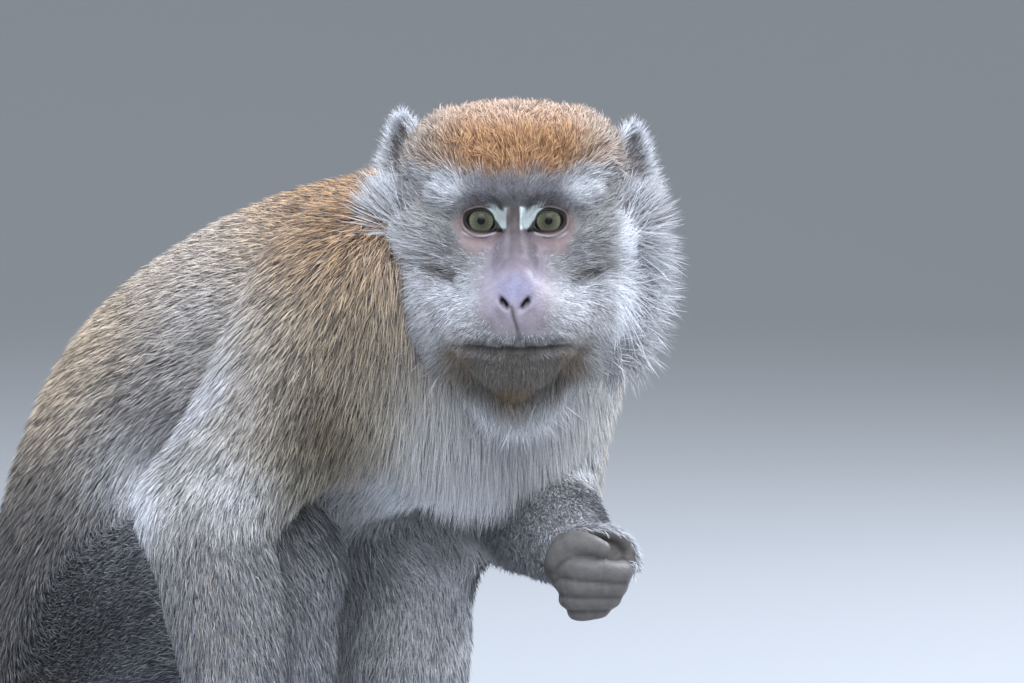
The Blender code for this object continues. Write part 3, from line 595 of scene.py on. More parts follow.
def head_field(points):
    """Below zero inside the head's flesh: lumps melted together, less hollows, nostrils and mouth."""
    lumps = [(np.array(c), np.array(h)) for c, h in HEAD_MIDDLE.values()]
    lumps += list(mirrored(HEAD_PAIRS))
    field = melted([lump_distance(points, c, h) for c, h in lumps], HEAD_BLEND)
    for centre, half in mirrored(HEAD_HOLLOWS):
        hollow = -lump_distance(points, centre, half)
        field = -melted([-field, -hollow], HEAD_BLEND / 3)
    x, y, z = points.T
    ax = np.abs(x)
    coat = 0.0024 + 0.0046 * smooth(0.005, 0.035, -z) + 0.0016 * smooth(0.012, 0.034, y)
    field = field + coat * (1.0 - 0.8 * bump(points, (0, -0.030, 0.034), (0.020, 0.022, 0.030)))
    front = smooth(-0.010, 0.010, z)
    line = y - mouth_height(x)
    reach = front * smooth(0.034, 0.018, ax)
    field += reach * 0.0028 * bell(line, 0.0011)
    field -= reach * 0.0011 * bell(line - 0.0042, 0.0030)
    field -= reach * 0.0013 * bell(line + 0.0042, 0.0030)
    crease = np.exp(-(((ax - 0.0335) / 0.0052) ** 2) - ((y + 0.0255 - 0.12 * (ax - 0.0335)) / 0.0016) ** 2)
    field += front * 0.0024 * crease
    nose = front * smooth(0.020, 0.032, z)
    along, across = nostril_axes(ax, y)
    field += nose * 0.0048 * np.exp(-((along / 0.0029) ** 2) - (across / 0.0011) ** 2)
    field -= nose * 0.0009 * np.exp(-((along / 0.0045) ** 2) - ((across - 0.0030) / 0.0019) ** 2)
    ridge = bell(x - philtrum(y), 0.0011)
    ridge = ridge * smooth(-0.059, -0.054, y) * smooth(-0.038, -0.043, y)
    field += front * 0.0010 * ridge
    flank = 0.0012 * front * bell(ax - 0.0115, 0.0022) * smooth(-0.030, -0.022, y)
    return field + flank * smooth(-0.006, -0.014, y)


def head_surface(rings, sides):
    """The head's skin: rays from its centre meet the field's zero, closest together on the face."""
    turn = np.linspace(0.0, 1.0, rings)
    polar = math.radians(178.0) * (0.36 * turn + 0.64 * turn**2.6)
    polar[0] = math.radians(0.12)
    angle = round_angles(sides)
    p, a = np.meshgrid(polar, angle, indexing="ij")
    rays = np.stack([np.sin(p) * np.cos(a), np.sin(p) * np.sin(a), np.cos(p)], -1).reshape(-1, 3)
    tilt = math.radians(-13.0)
    turned = rays.copy()
    turned[:, 1] = rays[:, 1] * math.cos(tilt) + rays[:, 2] * math.sin(tilt)
    turned[:, 2] = -rays[:, 1] * math.sin(tilt) + rays[:, 2] * math.cos(tilt)
    low, high = np.full(len(rays), 0.02), np.full(len(rays), 0.13)
    reach = np.linspace(0.13, 0.02, 56)
    found = np.zeros(len(rays), bool)
    for near, far in zip(reach[1:], reach[:-1]):
        left = ~found
        inside = head_field(HEAD_CENTRE + turned[left] * near) < 0
        hit = np.flatnonzero(left)[inside]
        low[hit], high[hit] = near, far
        found[hit] = True
    for _ in range(12):
        middle = (low + high) / 2
        inside = head_field(HEAD_CENTRE + turned * middle[:, None]) < 0
        low, high = np.where(inside, middle, low), np.where(inside, high, middle)
    verts = HEAD_CENTRE + turned * ((low + high) / 2)[:, None]
    return closed_net(verts, np.arange(rings * sides).reshape(rings, sides))


# ---------------------------------------------------------------- meshes and materials
def new_mesh(name, verts, face_groups, shift=True):
    """An object from vertices in body coordinates and groups of faces of one size each."""
    mesh = bpy.data.meshes.new(name)
    groups = [np.asarray(g, np.int32) for g in face_groups if len(g)]
    loops = np.concatenate([g.ravel() for g in groups])
    sizes = np.concatenate([np.full(len(g), g.shape[1], np.int32) for g in groups])
    mesh.vertices.add(len(verts))
    mesh.vertices.foreach_set("co", (verts + (SHIFT if shift else 0.0)).astype(np.float32).ravel())
    mesh.loops.add(len(loops))
    mesh.loops.foreach_set("vertex_index", loops)
    mesh.polygons.add(len(sizes))
    starts = np.concatenate([[0], np.cumsum(sizes)[:-1]]).astype(np.int32)
    mesh.polygons.foreach_set("loop_start", starts)
    mesh.polygons.foreach_set("use_smooth", np.ones(len(sizes), bool))
    mesh.update(calc_edges=True)
    made = bpy.data.objects.new(name, mesh)
    bpy.context.scene.collection.objects.link(made)
    return made


def paint(made, colours, name="tint"):
    """Colours for each vertex, as an attribute that the material reads."""
    layer = made.data.color_attributes.new(name, "FLOAT_COLOR", "POINT")
    rgba = np.ones((len(colours), 4), np.float32)
    rgba[:, :3] = colours
    layer.data.foreach_set("color", rgba.ravel())


def node(tree, kind, settings=None, links=None):
    """Adds a node, sets its properties and sockets, and links other nodes' outputs to it."""
    made = tree.nodes.new(kind)
    for key, value in (settings or {}).items():
        if isinstance(key, str) and hasattr(made, key):
            setattr(made, key, value)
        else:
            made.inputs[key].default_value = value
    for key, source in (links or {}).items():
        tree.links.new(source, made.inputs[key])
    return made


def new_material(name):
    """An empty material, its node tree and its output node."""
    made = bpy.data.materials.new(name)
    made.use_nodes = True
    tree = made.node_tree
    tree.nodes.clear()
    return made, tree, tree.nodes.new("ShaderNodeOutputMaterial")


def texture(tree, kind, **settings):
    """A texture node over the object's own coordinates."""
    place = node(tree, "ShaderNodeTexCoord")
    return node(tree, kind, settings, {"Vector": place.outputs["Object"]})


def mottled(tree, pattern, dark, light):
    """The tint attribute's colour, darkened and lightened by a pattern."""
    tint = node(tree, "ShaderNodeAttribute", {"attribute_name": "tint"})
    ramp = node(tree, "ShaderNodeMapRange", {1: 0.3, 2: 0.7, 3: dark, 4: light}, {0: pattern.outputs[0]})
    return node(
        tree, "ShaderNodeMix", {"data_type": "RGBA", "blend_type": "MULTIPLY", 0: 1.0},
        {6: tint.outputs["Color"], 7: ramp.outputs[0]},
    )


def finish_shader(tree, out, settings, links=None):
    """The Principled shader on its way to the output."""
    shader = node(tree, "ShaderNodeBsdfPrincipled", settings, links)
    tree.links.new(shader.outputs[0], out.inputs["Surface"])


# ---------------------------------------------------------------- skin
# The dark "nostril" and "hollow" tints also serve as painted shade: in the cheek creases, the lower lids'
# folds and the hands' folds and furrows. The pale line under the eyes is a painted highlight.
SKIN_TINTS = {
    "face": "7D7675",
    "ridge": "6E6469",
    "mauve": "8F868E",
    "nose_tip": "9592AD",
    "orbit": "977F7A",
    "lid": "DCE8E6",
    "highlight_streak": "C9CBDA",
    "lash_line": "15120F",
    "bridge": "4E4644",
    "lip": "45403E",
    "chin": "5A5450",
    "nostril": "1E1716",
    "hollow": "5A5556",
    "ear": "7C7473",
    "hand": "686562",
    "nail": "A3A1A4",
}
TINT = {name: linear(value) for name, value in SKIN_TINTS.items()}


def layer_on(colours, tint, amount):
    """Paints a tint over colours by the given amount at each point."""
    return colours + (TINT[tint] - colours) * np.clip(amount, 0.0, 1.0)[:, None]


# The eye's opening: its reach to the inner and outer corners, half height, and the inner corner's drop
EYE_IN, EYE_OUTER, EYE_HALF_HEIGHT, EYE_DROP = 0.0067, 0.0072, 0.0048, 0.0020
LID_WIDTH, LID_THICKNESS = 0.0086, 0.0009
CORNEA_EDGE, CORNEA_RISE = 0.72, 0.0007  # its edge as an angle at the ball's middle, and its height
PUPIL_EDGE = 0.205


def lid_outline(a):
    """The eye's opening: nearly an ellipse, drawn down a little at its inner corner."""
    inward = np.where(np.cos(a) > 0, EYE_IN, EYE_OUTER) * np.cos(a)
    up = EYE_HALF_HEIGHT * np.sin(a) - EYE_DROP * np.maximum(np.cos(a), 0.0) ** 2
    return inward, up


def lash_line(ax, y):
    """How black the skin is round the eye: a rim, thick above, run down to a point at the inner corner."""
    inward, up = EYE_OUT - ax, y
    half = np.where(inward > 0, EYE_IN, EYE_OUTER)
    raised = up + EYE_DROP * np.clip(inward / EYE_IN, 0.0, 1.3) ** 2
    inner = np.hypot(inward / half, raised / EYE_HALF_HEIGHT)
    steep = np.hypot(inward / half**2, raised / EYE_HALF_HEIGHT**2)
    out = inner * (inner - 1.0) / np.maximum(steep, 1e-9)
    thick = 0.0011 + 0.0007 * smooth(0.0, 0.004, up) + 0.0007 * smooth(-0.004, -0.009, inward)
    rim = smooth(thick + 0.0003, thick - 0.0003, out)
    share = np.clip((inward - 0.0040) / 0.0064, 0.0, 1.0)
    top = -0.0044 + 0.0086 * (1.0 - share) ** 0.9
    corner = smooth(-0.0003, 0.0003, top - up) * smooth(-0.0060, -0.0054, up)
    corner *= smooth(0.0036, 0.0042, inward) * smooth(0.0108, 0.0103, inward)
    return np.maximum(rim, corner)


def face_tint(points):
    """The bare skin's colour on the head, from head coordinates, with painted shade in the cheek creases, the
    lower lids' folds and above the eyes, and a painted highlight along each lower lid.
    """
    x, y, z = points.T
    ax = np.abs(x)
    flat = np.stack([ax, y], axis=1)
    front = smooth(-0.020, 0.002, z)
    colours = np.tile(TINT["face"], (len(points), 1))

    def lay(tint, amount, where=front):
        nonlocal colours
        colours = layer_on(colours, tint, amount * where)

    lay("orbit", 0.9 * bump(flat, (0.017, -0.006), (0.014, 0.011)))
    muzzle = np.exp(-((x / 0.0180) ** 4) - ((y + 0.036) / 0.0245) ** 4)
    lay("mauve", 1.2 * muzzle)
    tip = np.exp(-((x / 0.0085) ** 2) - ((y + 0.0300) / 0.0085) ** 2)
    lay("nose_tip", 0.95 * tip)
    ridge = smooth(0.013, 0.006, ax) * smooth(-0.030, -0.018, y) * smooth(0.006, -0.004, y)
    lay("ridge", 0.85 * ridge)
    bridge = smooth(0.0040, 0.0015, ax) * smooth(-0.020, -0.002, y) * smooth(0.022, 0.010, y)
    lay("bridge", bridge)
    inward, up = EYE_OUT - ax, y
    ridged = np.abs(x + 0.0008)
    lid = smooth(0.0002, 0.0018, inward) * smooth(0.0030, 0.0037, ridged)
    lid *= smooth(0.0006, -0.0003, up - 0.0056 - 0.10 * inward) * smooth(-0.0044, -0.0030, up)
    lay("lid", lid)
    # Painted highlight: a pale line along each lower lid's edge.
    highlight_streak = up + 0.0080 - 40.0 * (inward + 0.001) ** 2 * 0.9
    pouch = bell(highlight_streak, 0.0006) * smooth(0.0095, 0.0070, np.abs(inward + 0.0008))
    lay("highlight_streak", 0.8 * pouch)
    # Painted shade in the fold just under that highlight.
    fold = bell(highlight_streak + 0.0015, 0.0006) * smooth(0.0100, 0.0070, np.abs(inward))
    lay("hollow", 0.35 * fold)
    # Painted shade in the cheek creases beside the muzzle, over the groove in the head's field.
    crease = (y + 0.0262 - 0.36 * (ax - 0.0335)) / 0.0020
    hollow = np.exp(-(((ax - 0.0335) / 0.0068) ** 2) - crease**2)
    lay("nostril", 0.8 * hollow)
    # Painted shade: a dark line above each eye, under the brow.
    over = bell(up - 0.0088 + 0.0020 * np.clip(-inward / 0.010, 0, 2), 0.0012)
    lay("bridge", 0.75 * over * smooth(-0.017, -0.008, inward))
    line = y - mouth_height(x)
    chin = smooth(0.000, -0.004, line) * smooth(0.036, 0.026, ax)
    lay("chin", chin)
    lip = bell(line - 0.0008, 0.0036) * smooth(0.030, 0.014, ax)
    lay("lip", 1.1 * lip)
    along, across = nostril_axes(ax, y)
    nostril = np.exp(-((along / 0.0030) ** 4) - (across / 0.0011) ** 4)
    lay("nostril", 1.1 * nostril, smooth(0.015, 0.025, z))
    seam = bell(x - philtrum(y), 0.0008)
    seam = seam * smooth(-0.060, -0.056, y) * smooth(-0.038, -0.041, y)
    lay("lip", 0.75 * seam)
    lay("lash_line", lash_line(ax, y))
    return colours


def body_tint(points, normals):
    """The skin's colour under the body's coat: the markings' own, a little darker."""
    base, tip = body_marks(points, normals, body_map(points)[0])
    return 0.75 * (0.7 * base + 0.3 * tip)


def digit_field(tubes, softness):
    """A field for a hand or foot, flat on the ground."""

    def field(points):
        flesh = melted([tube.distance(points) for tube in tubes], softness)
        return np.maximum(flesh, 0.0002 - points[:, 2])

    return field


def box_round(tubes):
    """The corners of a box round several tubes."""
    tubes = list(tubes)
    return np.min([tube.low for tube in tubes], axis=0), np.max([tube.high for tube in tubes], axis=0)


def grooves(points, tubes):
    """Painted shade in the furrows between neighbouring digits."""
    gaps = np.sort([tube.distance(points) for tube in tubes[2:]], axis=0)
    return smooth(0.0026, 0.0007, gaps[1])


def creases(points, tubes):
    """Painted shade in the joints' folds along the fingers, from their share along each digit."""
    fold = np.zeros(len(points))
    for tube in tubes[2:]:
        distance, share, _ = tube.near(points)
        lines = sum(bell(share - at, 0.008) for at in (0.40, 0.44, 0.74, 0.77))
        fold = np.maximum(fold, lines * smooth(0.0006, 0.0, distance))
    return fold


def coated_face_tint(points):
    """The head's skin: its own colour where bare, and the coat's where hair covers it."""
    base, tip = head_marks(points)
    bare = head_bare(points)
    bare = np.maximum(bare, lash_line(np.abs(points[:, 0]), points[:, 1]) * smooth(-0.02, 0.0, points[:, 2]))
    under = 0.75 * (0.6 * base + 0.4 * tip)
    return under + (face_tint(points) - under) * smooth(0.05, 0.55, bare)[:, None]


EAR_SIDES, EAR_RINGS = 64, 16
EAR_HALF_WIDTH, EAR_HALF_HEIGHT, EAR_SPLAY = 0.0165, 0.0205, math.radians(32.0)
# The ears' middles, in head coordinates
EAR_PLACES = {-1.0: np.array((-0.0530, 0.0245, -0.0575)), 1.0: np.array((0.0560, 0.0195, -0.0565))}


def ear_shell(sign):
    """A cupped ear: a leaf-shaped bowl with a rolled rim, in front, and its back a skin's thickness off.

    Rings run from the bowl's middle to the rim and back behind it; the rim's radius is an ellipse drawn
    out to a blunt point at the top.
    """
    sides, rings = EAR_SIDES, EAR_RINGS
    a = round_angles(sides)
    s = np.linspace(0.04, 1.0, rings)
    point = 1.0 + 0.16 * bell(a - 1.75, 0.45)
    width, height = EAR_HALF_WIDTH * point, EAR_HALF_HEIGHT * point
    front = -0.0060 + 0.0072 * s**2.2 + 0.0016 * bell(s - 0.93, 0.06)
    fold = 0.0016 * bell(s - 0.60, 0.09)
    rows = []
    for depth, scale in ((front + fold, s), (front - 0.0016, s[::-1])):
        depth = depth if scale is s else depth[::-1]
        across = scale[:, None] * width * np.cos(a)
        up = scale[:, None] * height * np.sin(a)
        rows.append(np.stack([np.repeat(depth[:, None], sides, 1), up, across], -1))
    grid = np.concatenate(rows)
    cos, sin = math.cos(EAR_SPLAY), sign * math.sin(EAR_SPLAY)
    x, y, z = grid[..., 0] * sign, grid[..., 1], grid[..., 2]
    turned = np.stack([x * cos - z * sin, y, x * sin + z * cos], -1)
    verts = turned.reshape(-1, 3) + EAR_PLACES[sign]
    index = np.arange(len(verts)).reshape(2 * rings, sides)
    verts, groups = closed_net(verts, index, flipped=True)
    if sign < 0:
        groups = [g[:, ::-1] for g in groups]
    return verts, groups


def lid_ring(sign):
    """The eyelids: a ring from the lash line outward, over the ball and down into the face.

    Across the ring the height follows the eyeball plus the lid's thickness, then falls to the face. The
    black lash line is widest at the inner corner, where it runs down to a point.
    """
    sides, rings = 160, 36
    a = round_angles(sides)
    v = np.linspace(0.0, 1.0, rings)[:, None]
    inward, up = lid_outline(a)
    spread = LID_WIDTH * v
    out = unit(np.stack([np.cos(a) * 0.92, np.sin(a)], -1))
    x = inward + spread * out[:, 0]
    y = up + spread * out[:, 1]
    off = np.sqrt(x**2 + y**2)
    ball = EYE_RADIUS + LID_THICKNESS * smooth(0.0, 0.08, v)
    limit = 0.80 * ball
    height = np.sqrt(ball**2 - np.minimum(off, limit) ** 2) - 1.05 * np.maximum(off - limit, 0.0)
    lower = smooth(0.2, -0.3, np.sin(a))
    pouch = (0.0003 + 0.0008 * lower) * bell(v - 0.36, 0.09)
    groove = 0.0010 * (1 - lower) * bell(v - 0.46, 0.05)
    groove = groove + 0.0006 * bell(v - 0.20, 0.035) + 0.0007 * lower * bell(v - 0.54, 0.05)
    lid = height - EYE_BACK + pouch - groove
    verts = np.stack([sign * (EYE_OUT - x), y, lid], -1)
    flat = verts.reshape(-1, 3).copy()
    top, bottom = np.full(len(flat), 0.022), np.full(len(flat), -0.030)
    for _ in range(18):
        middle = (top + bottom) / 2
        flat[:, 2] = middle
        inside = head_field(flat) < 0
        bottom, top = np.where(inside, middle, bottom), np.where(inside, top, middle)
    face = ((top + bottom) / 2).reshape(rings, sides)
    blend = smooth(0.45, 1.0, v)
    verts[..., 2] = lid + blend * (face - 0.0006 * smooth(0.9, 1.0, v) - lid)
    colours = face_tint(verts.reshape(-1, 3))
    index = np.arange(rings * sides).reshape(rings, sides)
    quads = ring_quads(index, flipped=True)
    if sign < 0:
        quads = quads[:, ::-1]
    return verts.reshape(-1, 3), quads[:, ::-1], colours


def skin_material(roughness):
    """Living skin: soft, slightly oily, with fine wrinkles; the tint attribute gives its markings."""
    made, tree, out = new_material("macaque_skin")
    pores = texture(tree, "ShaderNodeTexNoise", Scale=900.0, Detail=3.0)
    folds = texture(tree, "ShaderNodeTexVoronoi", Scale=420.0, feature="DISTANCE_TO_EDGE")
    blotch = texture(tree, "ShaderNodeTexNoise", Scale=220.0, Detail=3.0)
    colour = mottled(tree, blotch, 0.86, 1.12)
    fine = node(tree, "ShaderNodeBump", {"Strength": 0.35, "Distance": 0.0004}, {"Height": pores.outputs[0]})
    bumps = node(
        tree, "ShaderNodeBump", {"Strength": 0.45, "Distance": 0.0005},
        {"Height": folds.outputs[0], "Normal": fine.outputs[0]},
    )
    finish_shader(
        tree, out, {"Roughness": roughness, "IOR": 1.4, "Specular IOR Level": 0.38},
        {"Base Color": colour.outputs[2], "Normal": bumps.outputs[0]},
    )
    return made


HEAD_RINGS, HEAD_SIDES = 138, 276
BODY_STEP, HAND_STEP, FOOT_STEP = 0.0050, 0.00138, 0.0021  # spacing of the skin's net
HANDS = {  # tubes, spacing, how softly they run together
    "hand_right": (hand_tubes(), HAND_STEP, 0.0009),
    "hand_left": (fist_tubes(), HAND_STEP, 0.0012),
    "foot_right": (foot_tubes("right"), FOOT_STEP, 0.0009),
    "foot_left": (foot_tubes("left"), FOOT_STEP, 0.0009),
}
FLESH = (
    ["head", "neck", "trunk", "hips"]
    + [f"{part}_{side}" for part in ("ear", "upper_arm", "forearm", "hand") for side in ("right", "left")]
    + [f"{part}_{side}" for part in ("thigh", "shin", "foot") for side in ("right", "left")]
    + [f"tail_{i}" for i in range(1, 6)]
)
SURFACES = {}  # each part's skin as (vertices, quads), for the coat to grow from


def make_skin(roughness):
    """One skin over the head, body, hands, feet, ears and lids."""
    verts, groups, colours = [], [], []
    count = 0

    def add(points, faces, tints):
        nonlocal count
        verts.append(points)
        groups.extend(np.asarray(f) + count for f in faces)
        colours.append(tints)
        count += len(points)

    points, faces = head_surface(HEAD_RINGS, HEAD_SIDES)
    SURFACES["head"] = (points, faces[0])
    add(from_head(points), faces, coated_face_tint(points))
    points, quads = net_surface(body_field, *box_round(TUBES.values()), BODY_STEP)
    SURFACES["body"] = (points, quads)
    add(points, [quads], body_tint(points, vertex_normals(points, quads)))
    for name, (tubes, step, join) in HANDS.items():
        low, high = box_round(tubes)
        points, quads = net_surface(digit_field(tubes, join), np.maximum(low, (-1, -1, -0.004)), high, step)
        SURFACES[name] = (points, quads)
        # Painted shade in the folds of the fingers' joints.
        tints = layer_on(np.tile(TINT["hand"], (len(points), 1)), "nostril", 0.16 * creases(points, tubes))
        if name == "hand_left":
            local = (points - FIST_CENTRE) @ fist_axes().T
            # Painted shade in the furrows between the fist's fingers.
            tints = layer_on(tints, "nostril", 0.55 * grooves(points, tubes))
            tints = layer_on(tints, "nail", 1.2 * bump(local, FIST_NAIL, (0.0030, 0.0030, 0.0020)))
        add(points, [quads], tints)
    for sign in (-1.0, 1.0):
        points, faces = ear_shell(sign)
        SURFACES[f"ear_{sign:.0f}"] = (points, faces[0])
        add(from_head(points), faces, np.tile(TINT["ear"], (len(points), 1)))
        points, quads, tints = lid_ring(sign)
        add(from_head(points), [quads], tints)
    made = new_mesh("skin", np.vstack(verts), groups)
    paint(made, np.vstack(colours))
    made.data.materials.append(skin_material(roughness))
    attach(made, "root")
    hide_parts(*FLESH)
    return made


# ---------------------------------------------------------------- eyes
EYE_TINTS = {
    "pupil": linear("08090B"),
    "iris_inner": linear("4A4A3A"),
    "iris_outer": linear("727560"),
    "limbus": linear("151410"),
    "white": linear("0D0B0A"),
}


def make_eye(side, sign, wetness):
    """An eyeball: a sphere whose cornea stands out a little, with the iris's spokes, the pupil and the upper
    lid's shadow painted over its top.
    """
    rings, sides = 96, 96
    front, back = np.linspace(0.004, CORNEA_EDGE, 64), np.linspace(0.75, math.pi - 0.02, rings - 64)
    p = np.concatenate([front, back])
    a = round_angles(sides)
    pp, aa = np.meshgrid(p, a, indexing="ij")
    reach = EYE_RADIUS + CORNEA_RISE * smooth(CORNEA_EDGE, 0.0, pp)
    ball = np.stack([np.sin(pp) * np.cos(aa), np.sin(pp) * np.sin(aa), np.cos(pp)], -1)
    verts = (ball * reach[..., None] + (sign * EYE_OUT, 0.0, -EYE_BACK)).reshape(-1, 3)
    rng = np.random.default_rng(7 if side == "left" else 8)
    spokes = sum(
        np.sin(aa * k + rng.uniform(0, 6.28) + 2.0 * np.sin(pp * 9)) * w
        for k, w in ((17, 0.5), (29, 0.35), (43, 0.3), (61, 0.2))
    )
    share = smooth(0.19, 0.66, pp)[..., None]
    iris = EYE_TINTS["iris_inner"] * (1 - share) + EYE_TINTS["iris_outer"] * share
    iris = iris * (1.0 + 0.22 * spokes[..., None])
    ring = smooth(0.60, 0.69, pp)[..., None]
    colours = iris + (EYE_TINTS["limbus"] - iris) * ring
    outer = smooth(CORNEA_EDGE, 0.80, pp)[..., None]
    colours = colours + (EYE_TINTS["white"] - colours) * outer
    # Painted shadow of the upper lid: the iris and ball darker towards the top.
    colours = colours * (1.0 - 0.55 * smooth(0.1, 0.55, np.sin(pp) * np.sin(aa)))[..., None]
    hole = smooth(PUPIL_EDGE, 0.18, pp)[..., None]
    colours = colours + (EYE_TINTS["pupil"] - colours) * hole
    index = np.arange(rings * sides).reshape(rings, sides)
    verts, groups = closed_net(verts, index)
    made = new_mesh("eyeball_" + side, from_head(verts), groups)
    flat = colours.reshape(-1, 3)
    paint(made, np.vstack([flat, EYE_TINTS["pupil"], EYE_TINTS["white"]]))
    made.data.materials.append(bpy.data.materials.get("wet_eye") or eye_material(wetness))
    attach(made, "root")
    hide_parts("eye_" + side)
    return made


def eye_material(wetness):
    """A wet eye: matt iris and white under a clear, glossy tear film."""
    made, tree, out = new_material("wet_eye")
    tint = node(tree, "ShaderNodeAttribute", {"attribute_name": "tint"})
    finish_shader(
        tree, out,
        {"Roughness": 0.5, "IOR": 1.376, "Specular IOR Level": 0.15,
         "Coat Weight": wetness, "Coat Roughness": 0.04},
        {"Base Color": tint.outputs["Color"]},
    )
    return made


# ---------------------------------------------------------------- coat
# Some of these also carry painted light and shade: "shade" darkens the shoulder's front and the forearm;
# "white" lightens the elbow, the upper arm's rear edge, the belly and the lap.
HAIR_TINTS = {  # the hairs' own colours, tip or base, over the body
    "gold": "E4C9A2",
    "orange": "CF9E6C",
    "rust": "946B4C",
    "rust_light": "C99F70",
    "pink_grey": "DCC9BC",
    "brown": "8A7563",
    "brown_dark": "63564A",
    "grey": "C0BCB4",
    "grey_dark": "5E5B59",
    "silver": "C8C8CA",
    "silver_base": "8C8C8E",
    "white": "F1F3F6",
    "white_base": "BDC0C4",
    "olive": "D3CBB6",
    "olive_dark": "5A554C",
    "shade": "8F8163",
    "slate": "ACAFB6",
    "slate_dark": "777A81",
    "soot": "55534F",
    "soot_dark": "3B3939",
    "dusk": "7D7B80",
    "dusk_base": "5B595D",
    "tawny": "77613F",
    "chin": "716A62",
    "chin_base": "57514A",
    "mouse": "A8A5A1",
}
HAIR = {name: linear(value) for name, value in HAIR_TINTS.items()}

# Tube: hair's length, lift from the skin in degrees, width
HAIR_SIZES = {
    "torso": (0.0112, 31.0, 0.00072),
    "neck": (0.0125, 32.0, 0.00068),
    "upper_arm": (0.0106, 30.0, 0.00070),
    "forearm": (0.0090, 26.0, 0.00062),
    "thigh": (0.0108, 28.0, 0.00070),
    "shin": (0.0090, 24.0, 0.00064),
    "tail": (0.0068, 18.0, 0.00056),
}


def toward(colours, tint, amount):
    """Colours carried towards a hair tint by the given amount at each point."""
    return colours + (HAIR[tint] - colours) * np.clip(amount, 0.0, 1.0)[:, None]


class Markings:
    """A coat's tip and base colours at each point, laid on mark by mark."""

    def __init__(self, count, tip_tint, base_tint):
        self.tip = np.tile(HAIR[tip_tint], (count, 1))
        self.base = np.tile(HAIR[base_tint], (count, 1))

    def add(self, tip_tint, base_tint, amount):
        """Carries the tips and bases towards two tints by the given amount."""
        self.tip = toward(self.tip, tip_tint, amount)
        self.base = toward(self.base, base_tint, amount)


def ripple(points, size, seed):
    """A soft random pattern, about -1 to 1: sines of the given size in several directions, added."""
    rng = np.random.default_rng(seed)
    ways = unit(rng.normal(size=(7, 3))) * rng.uniform(0.7, 1.5, (7, 1)) * 2 * math.pi / size
    return np.sin(points @ ways.T + rng.uniform(0, 6.3, 7)).sum(axis=1) / 3.2


def vertex_normals(verts, faces):
    """Each vertex's normal: the sum of its faces' normals."""
    a, b, c = (verts[faces[:, i]] for i in (0, 1, 2))
    across = np.cross(b - a, c - a)
    total = np.zeros_like(verts)
    for corner in range(faces.shape[1]):
        for axis in range(3):
            total[:, axis] += np.bincount(faces[:, corner], across[:, axis], len(verts))
    return unit(total)


def scatter(verts, faces, share, count, rng):
    """Places and normals of so many roots over a net, chosen by area times each vertex's share."""
    tris = np.vstack([faces[:, :3], faces[:, [0, 2, 3]]])
    a, b, c = (verts[tris[:, i]] for i in (0, 1, 2))
    area = np.linalg.norm(np.cross(b - a, c - a), axis=1) * share[tris].mean(axis=1)
    picked = tris[rng.choice(len(tris), count, p=area / area.sum())]
    one, two = rng.random((2, count, 1))
    flip = one + two > 1
    one, two = np.where(flip, 1 - one, one), np.where(flip, 1 - two, two)
    weights = np.stack([1 - one - two, one, two])
    normals = vertex_normals(verts, faces)
    place = sum(weights[i] * verts[picked[:, i]] for i in range(3))
    return place, unit(sum(weights[i] * normals[picked[:, i]] for i in range(3)))


TUBE_NAMES = list(TUBES)
FLOWS = {"torso": -1.0, "neck": -1.0}  # where the hair lies against its tube's direction


def body_map(points):
    """For each point: each tube's weight, its nearest tube, share and angle there, and its lie."""
    count = len(points)
    distance = np.empty((len(TUBES), count))
    shares, angles = np.empty((2, len(TUBES), count))
    ways = np.empty((len(TUBES), count, 3))
    for i, (name, tube) in enumerate(TUBES.items()):
        distance[i], shares[i], angles[i] = tube.near(points)
        at = np.clip((shares[i] * (len(tube.centres) - 1)).astype(int), 0, len(tube.centres) - 1)
        ways[i] = tube.along[at] * FLOWS.get(name, 1.0)
    weights = np.exp(-np.maximum(distance - distance.min(axis=0), 0.0) / 0.010)
    weights /= weights.sum(axis=0)
    nearest = weights.argmax(axis=0)
    index = np.arange(count)
    lie = (weights[..., None] * ways).sum(axis=0)
    return weights, nearest, shares[nearest, index], angles[nearest, index], lie


# The white patches are painted highlights on the upper arm and elbow; the "shade" ones are painted shade on
# the forearm and the shoulder's front.
# Soft patches of the right side: place across the view, height, size, tip and base tint, amount
BODY_PATCHES = (
    (-0.157, 0.279, 0.036, "silver", "silver_base", 0.55),
    (-0.155, 0.325, 0.036, "silver", "brown", 0.25),
    (-0.181, 0.230, 0.020, "mouse", "grey_dark", 0.75),
    (-0.135, 0.200, 0.022, "white", "silver_base", 0.75),
    (-0.184, 0.190, 0.016, "white", "white_base", 0.80),
    (-0.150, 0.160, 0.024, "shade", "slate_dark", 0.35),
    (-0.148, 0.130, 0.030, "shade", "slate_dark", 0.45),
    (-0.093, 0.235, 0.024, "shade", "soot_dark", 0.80),
    (-0.079, 0.281, 0.026, "shade", "soot_dark", 0.45),
    (-0.127, 0.246, 0.018, "silver", "brown", 0.50),
    (-0.242, 0.176, 0.026, "soot", "soot_dark", 0.35),
    (-0.044, 0.200, 0.014, "slate", "slate_dark", 0.45),
    (-0.005, 0.200, 0.014, "slate", "slate_dark", 0.45),
)


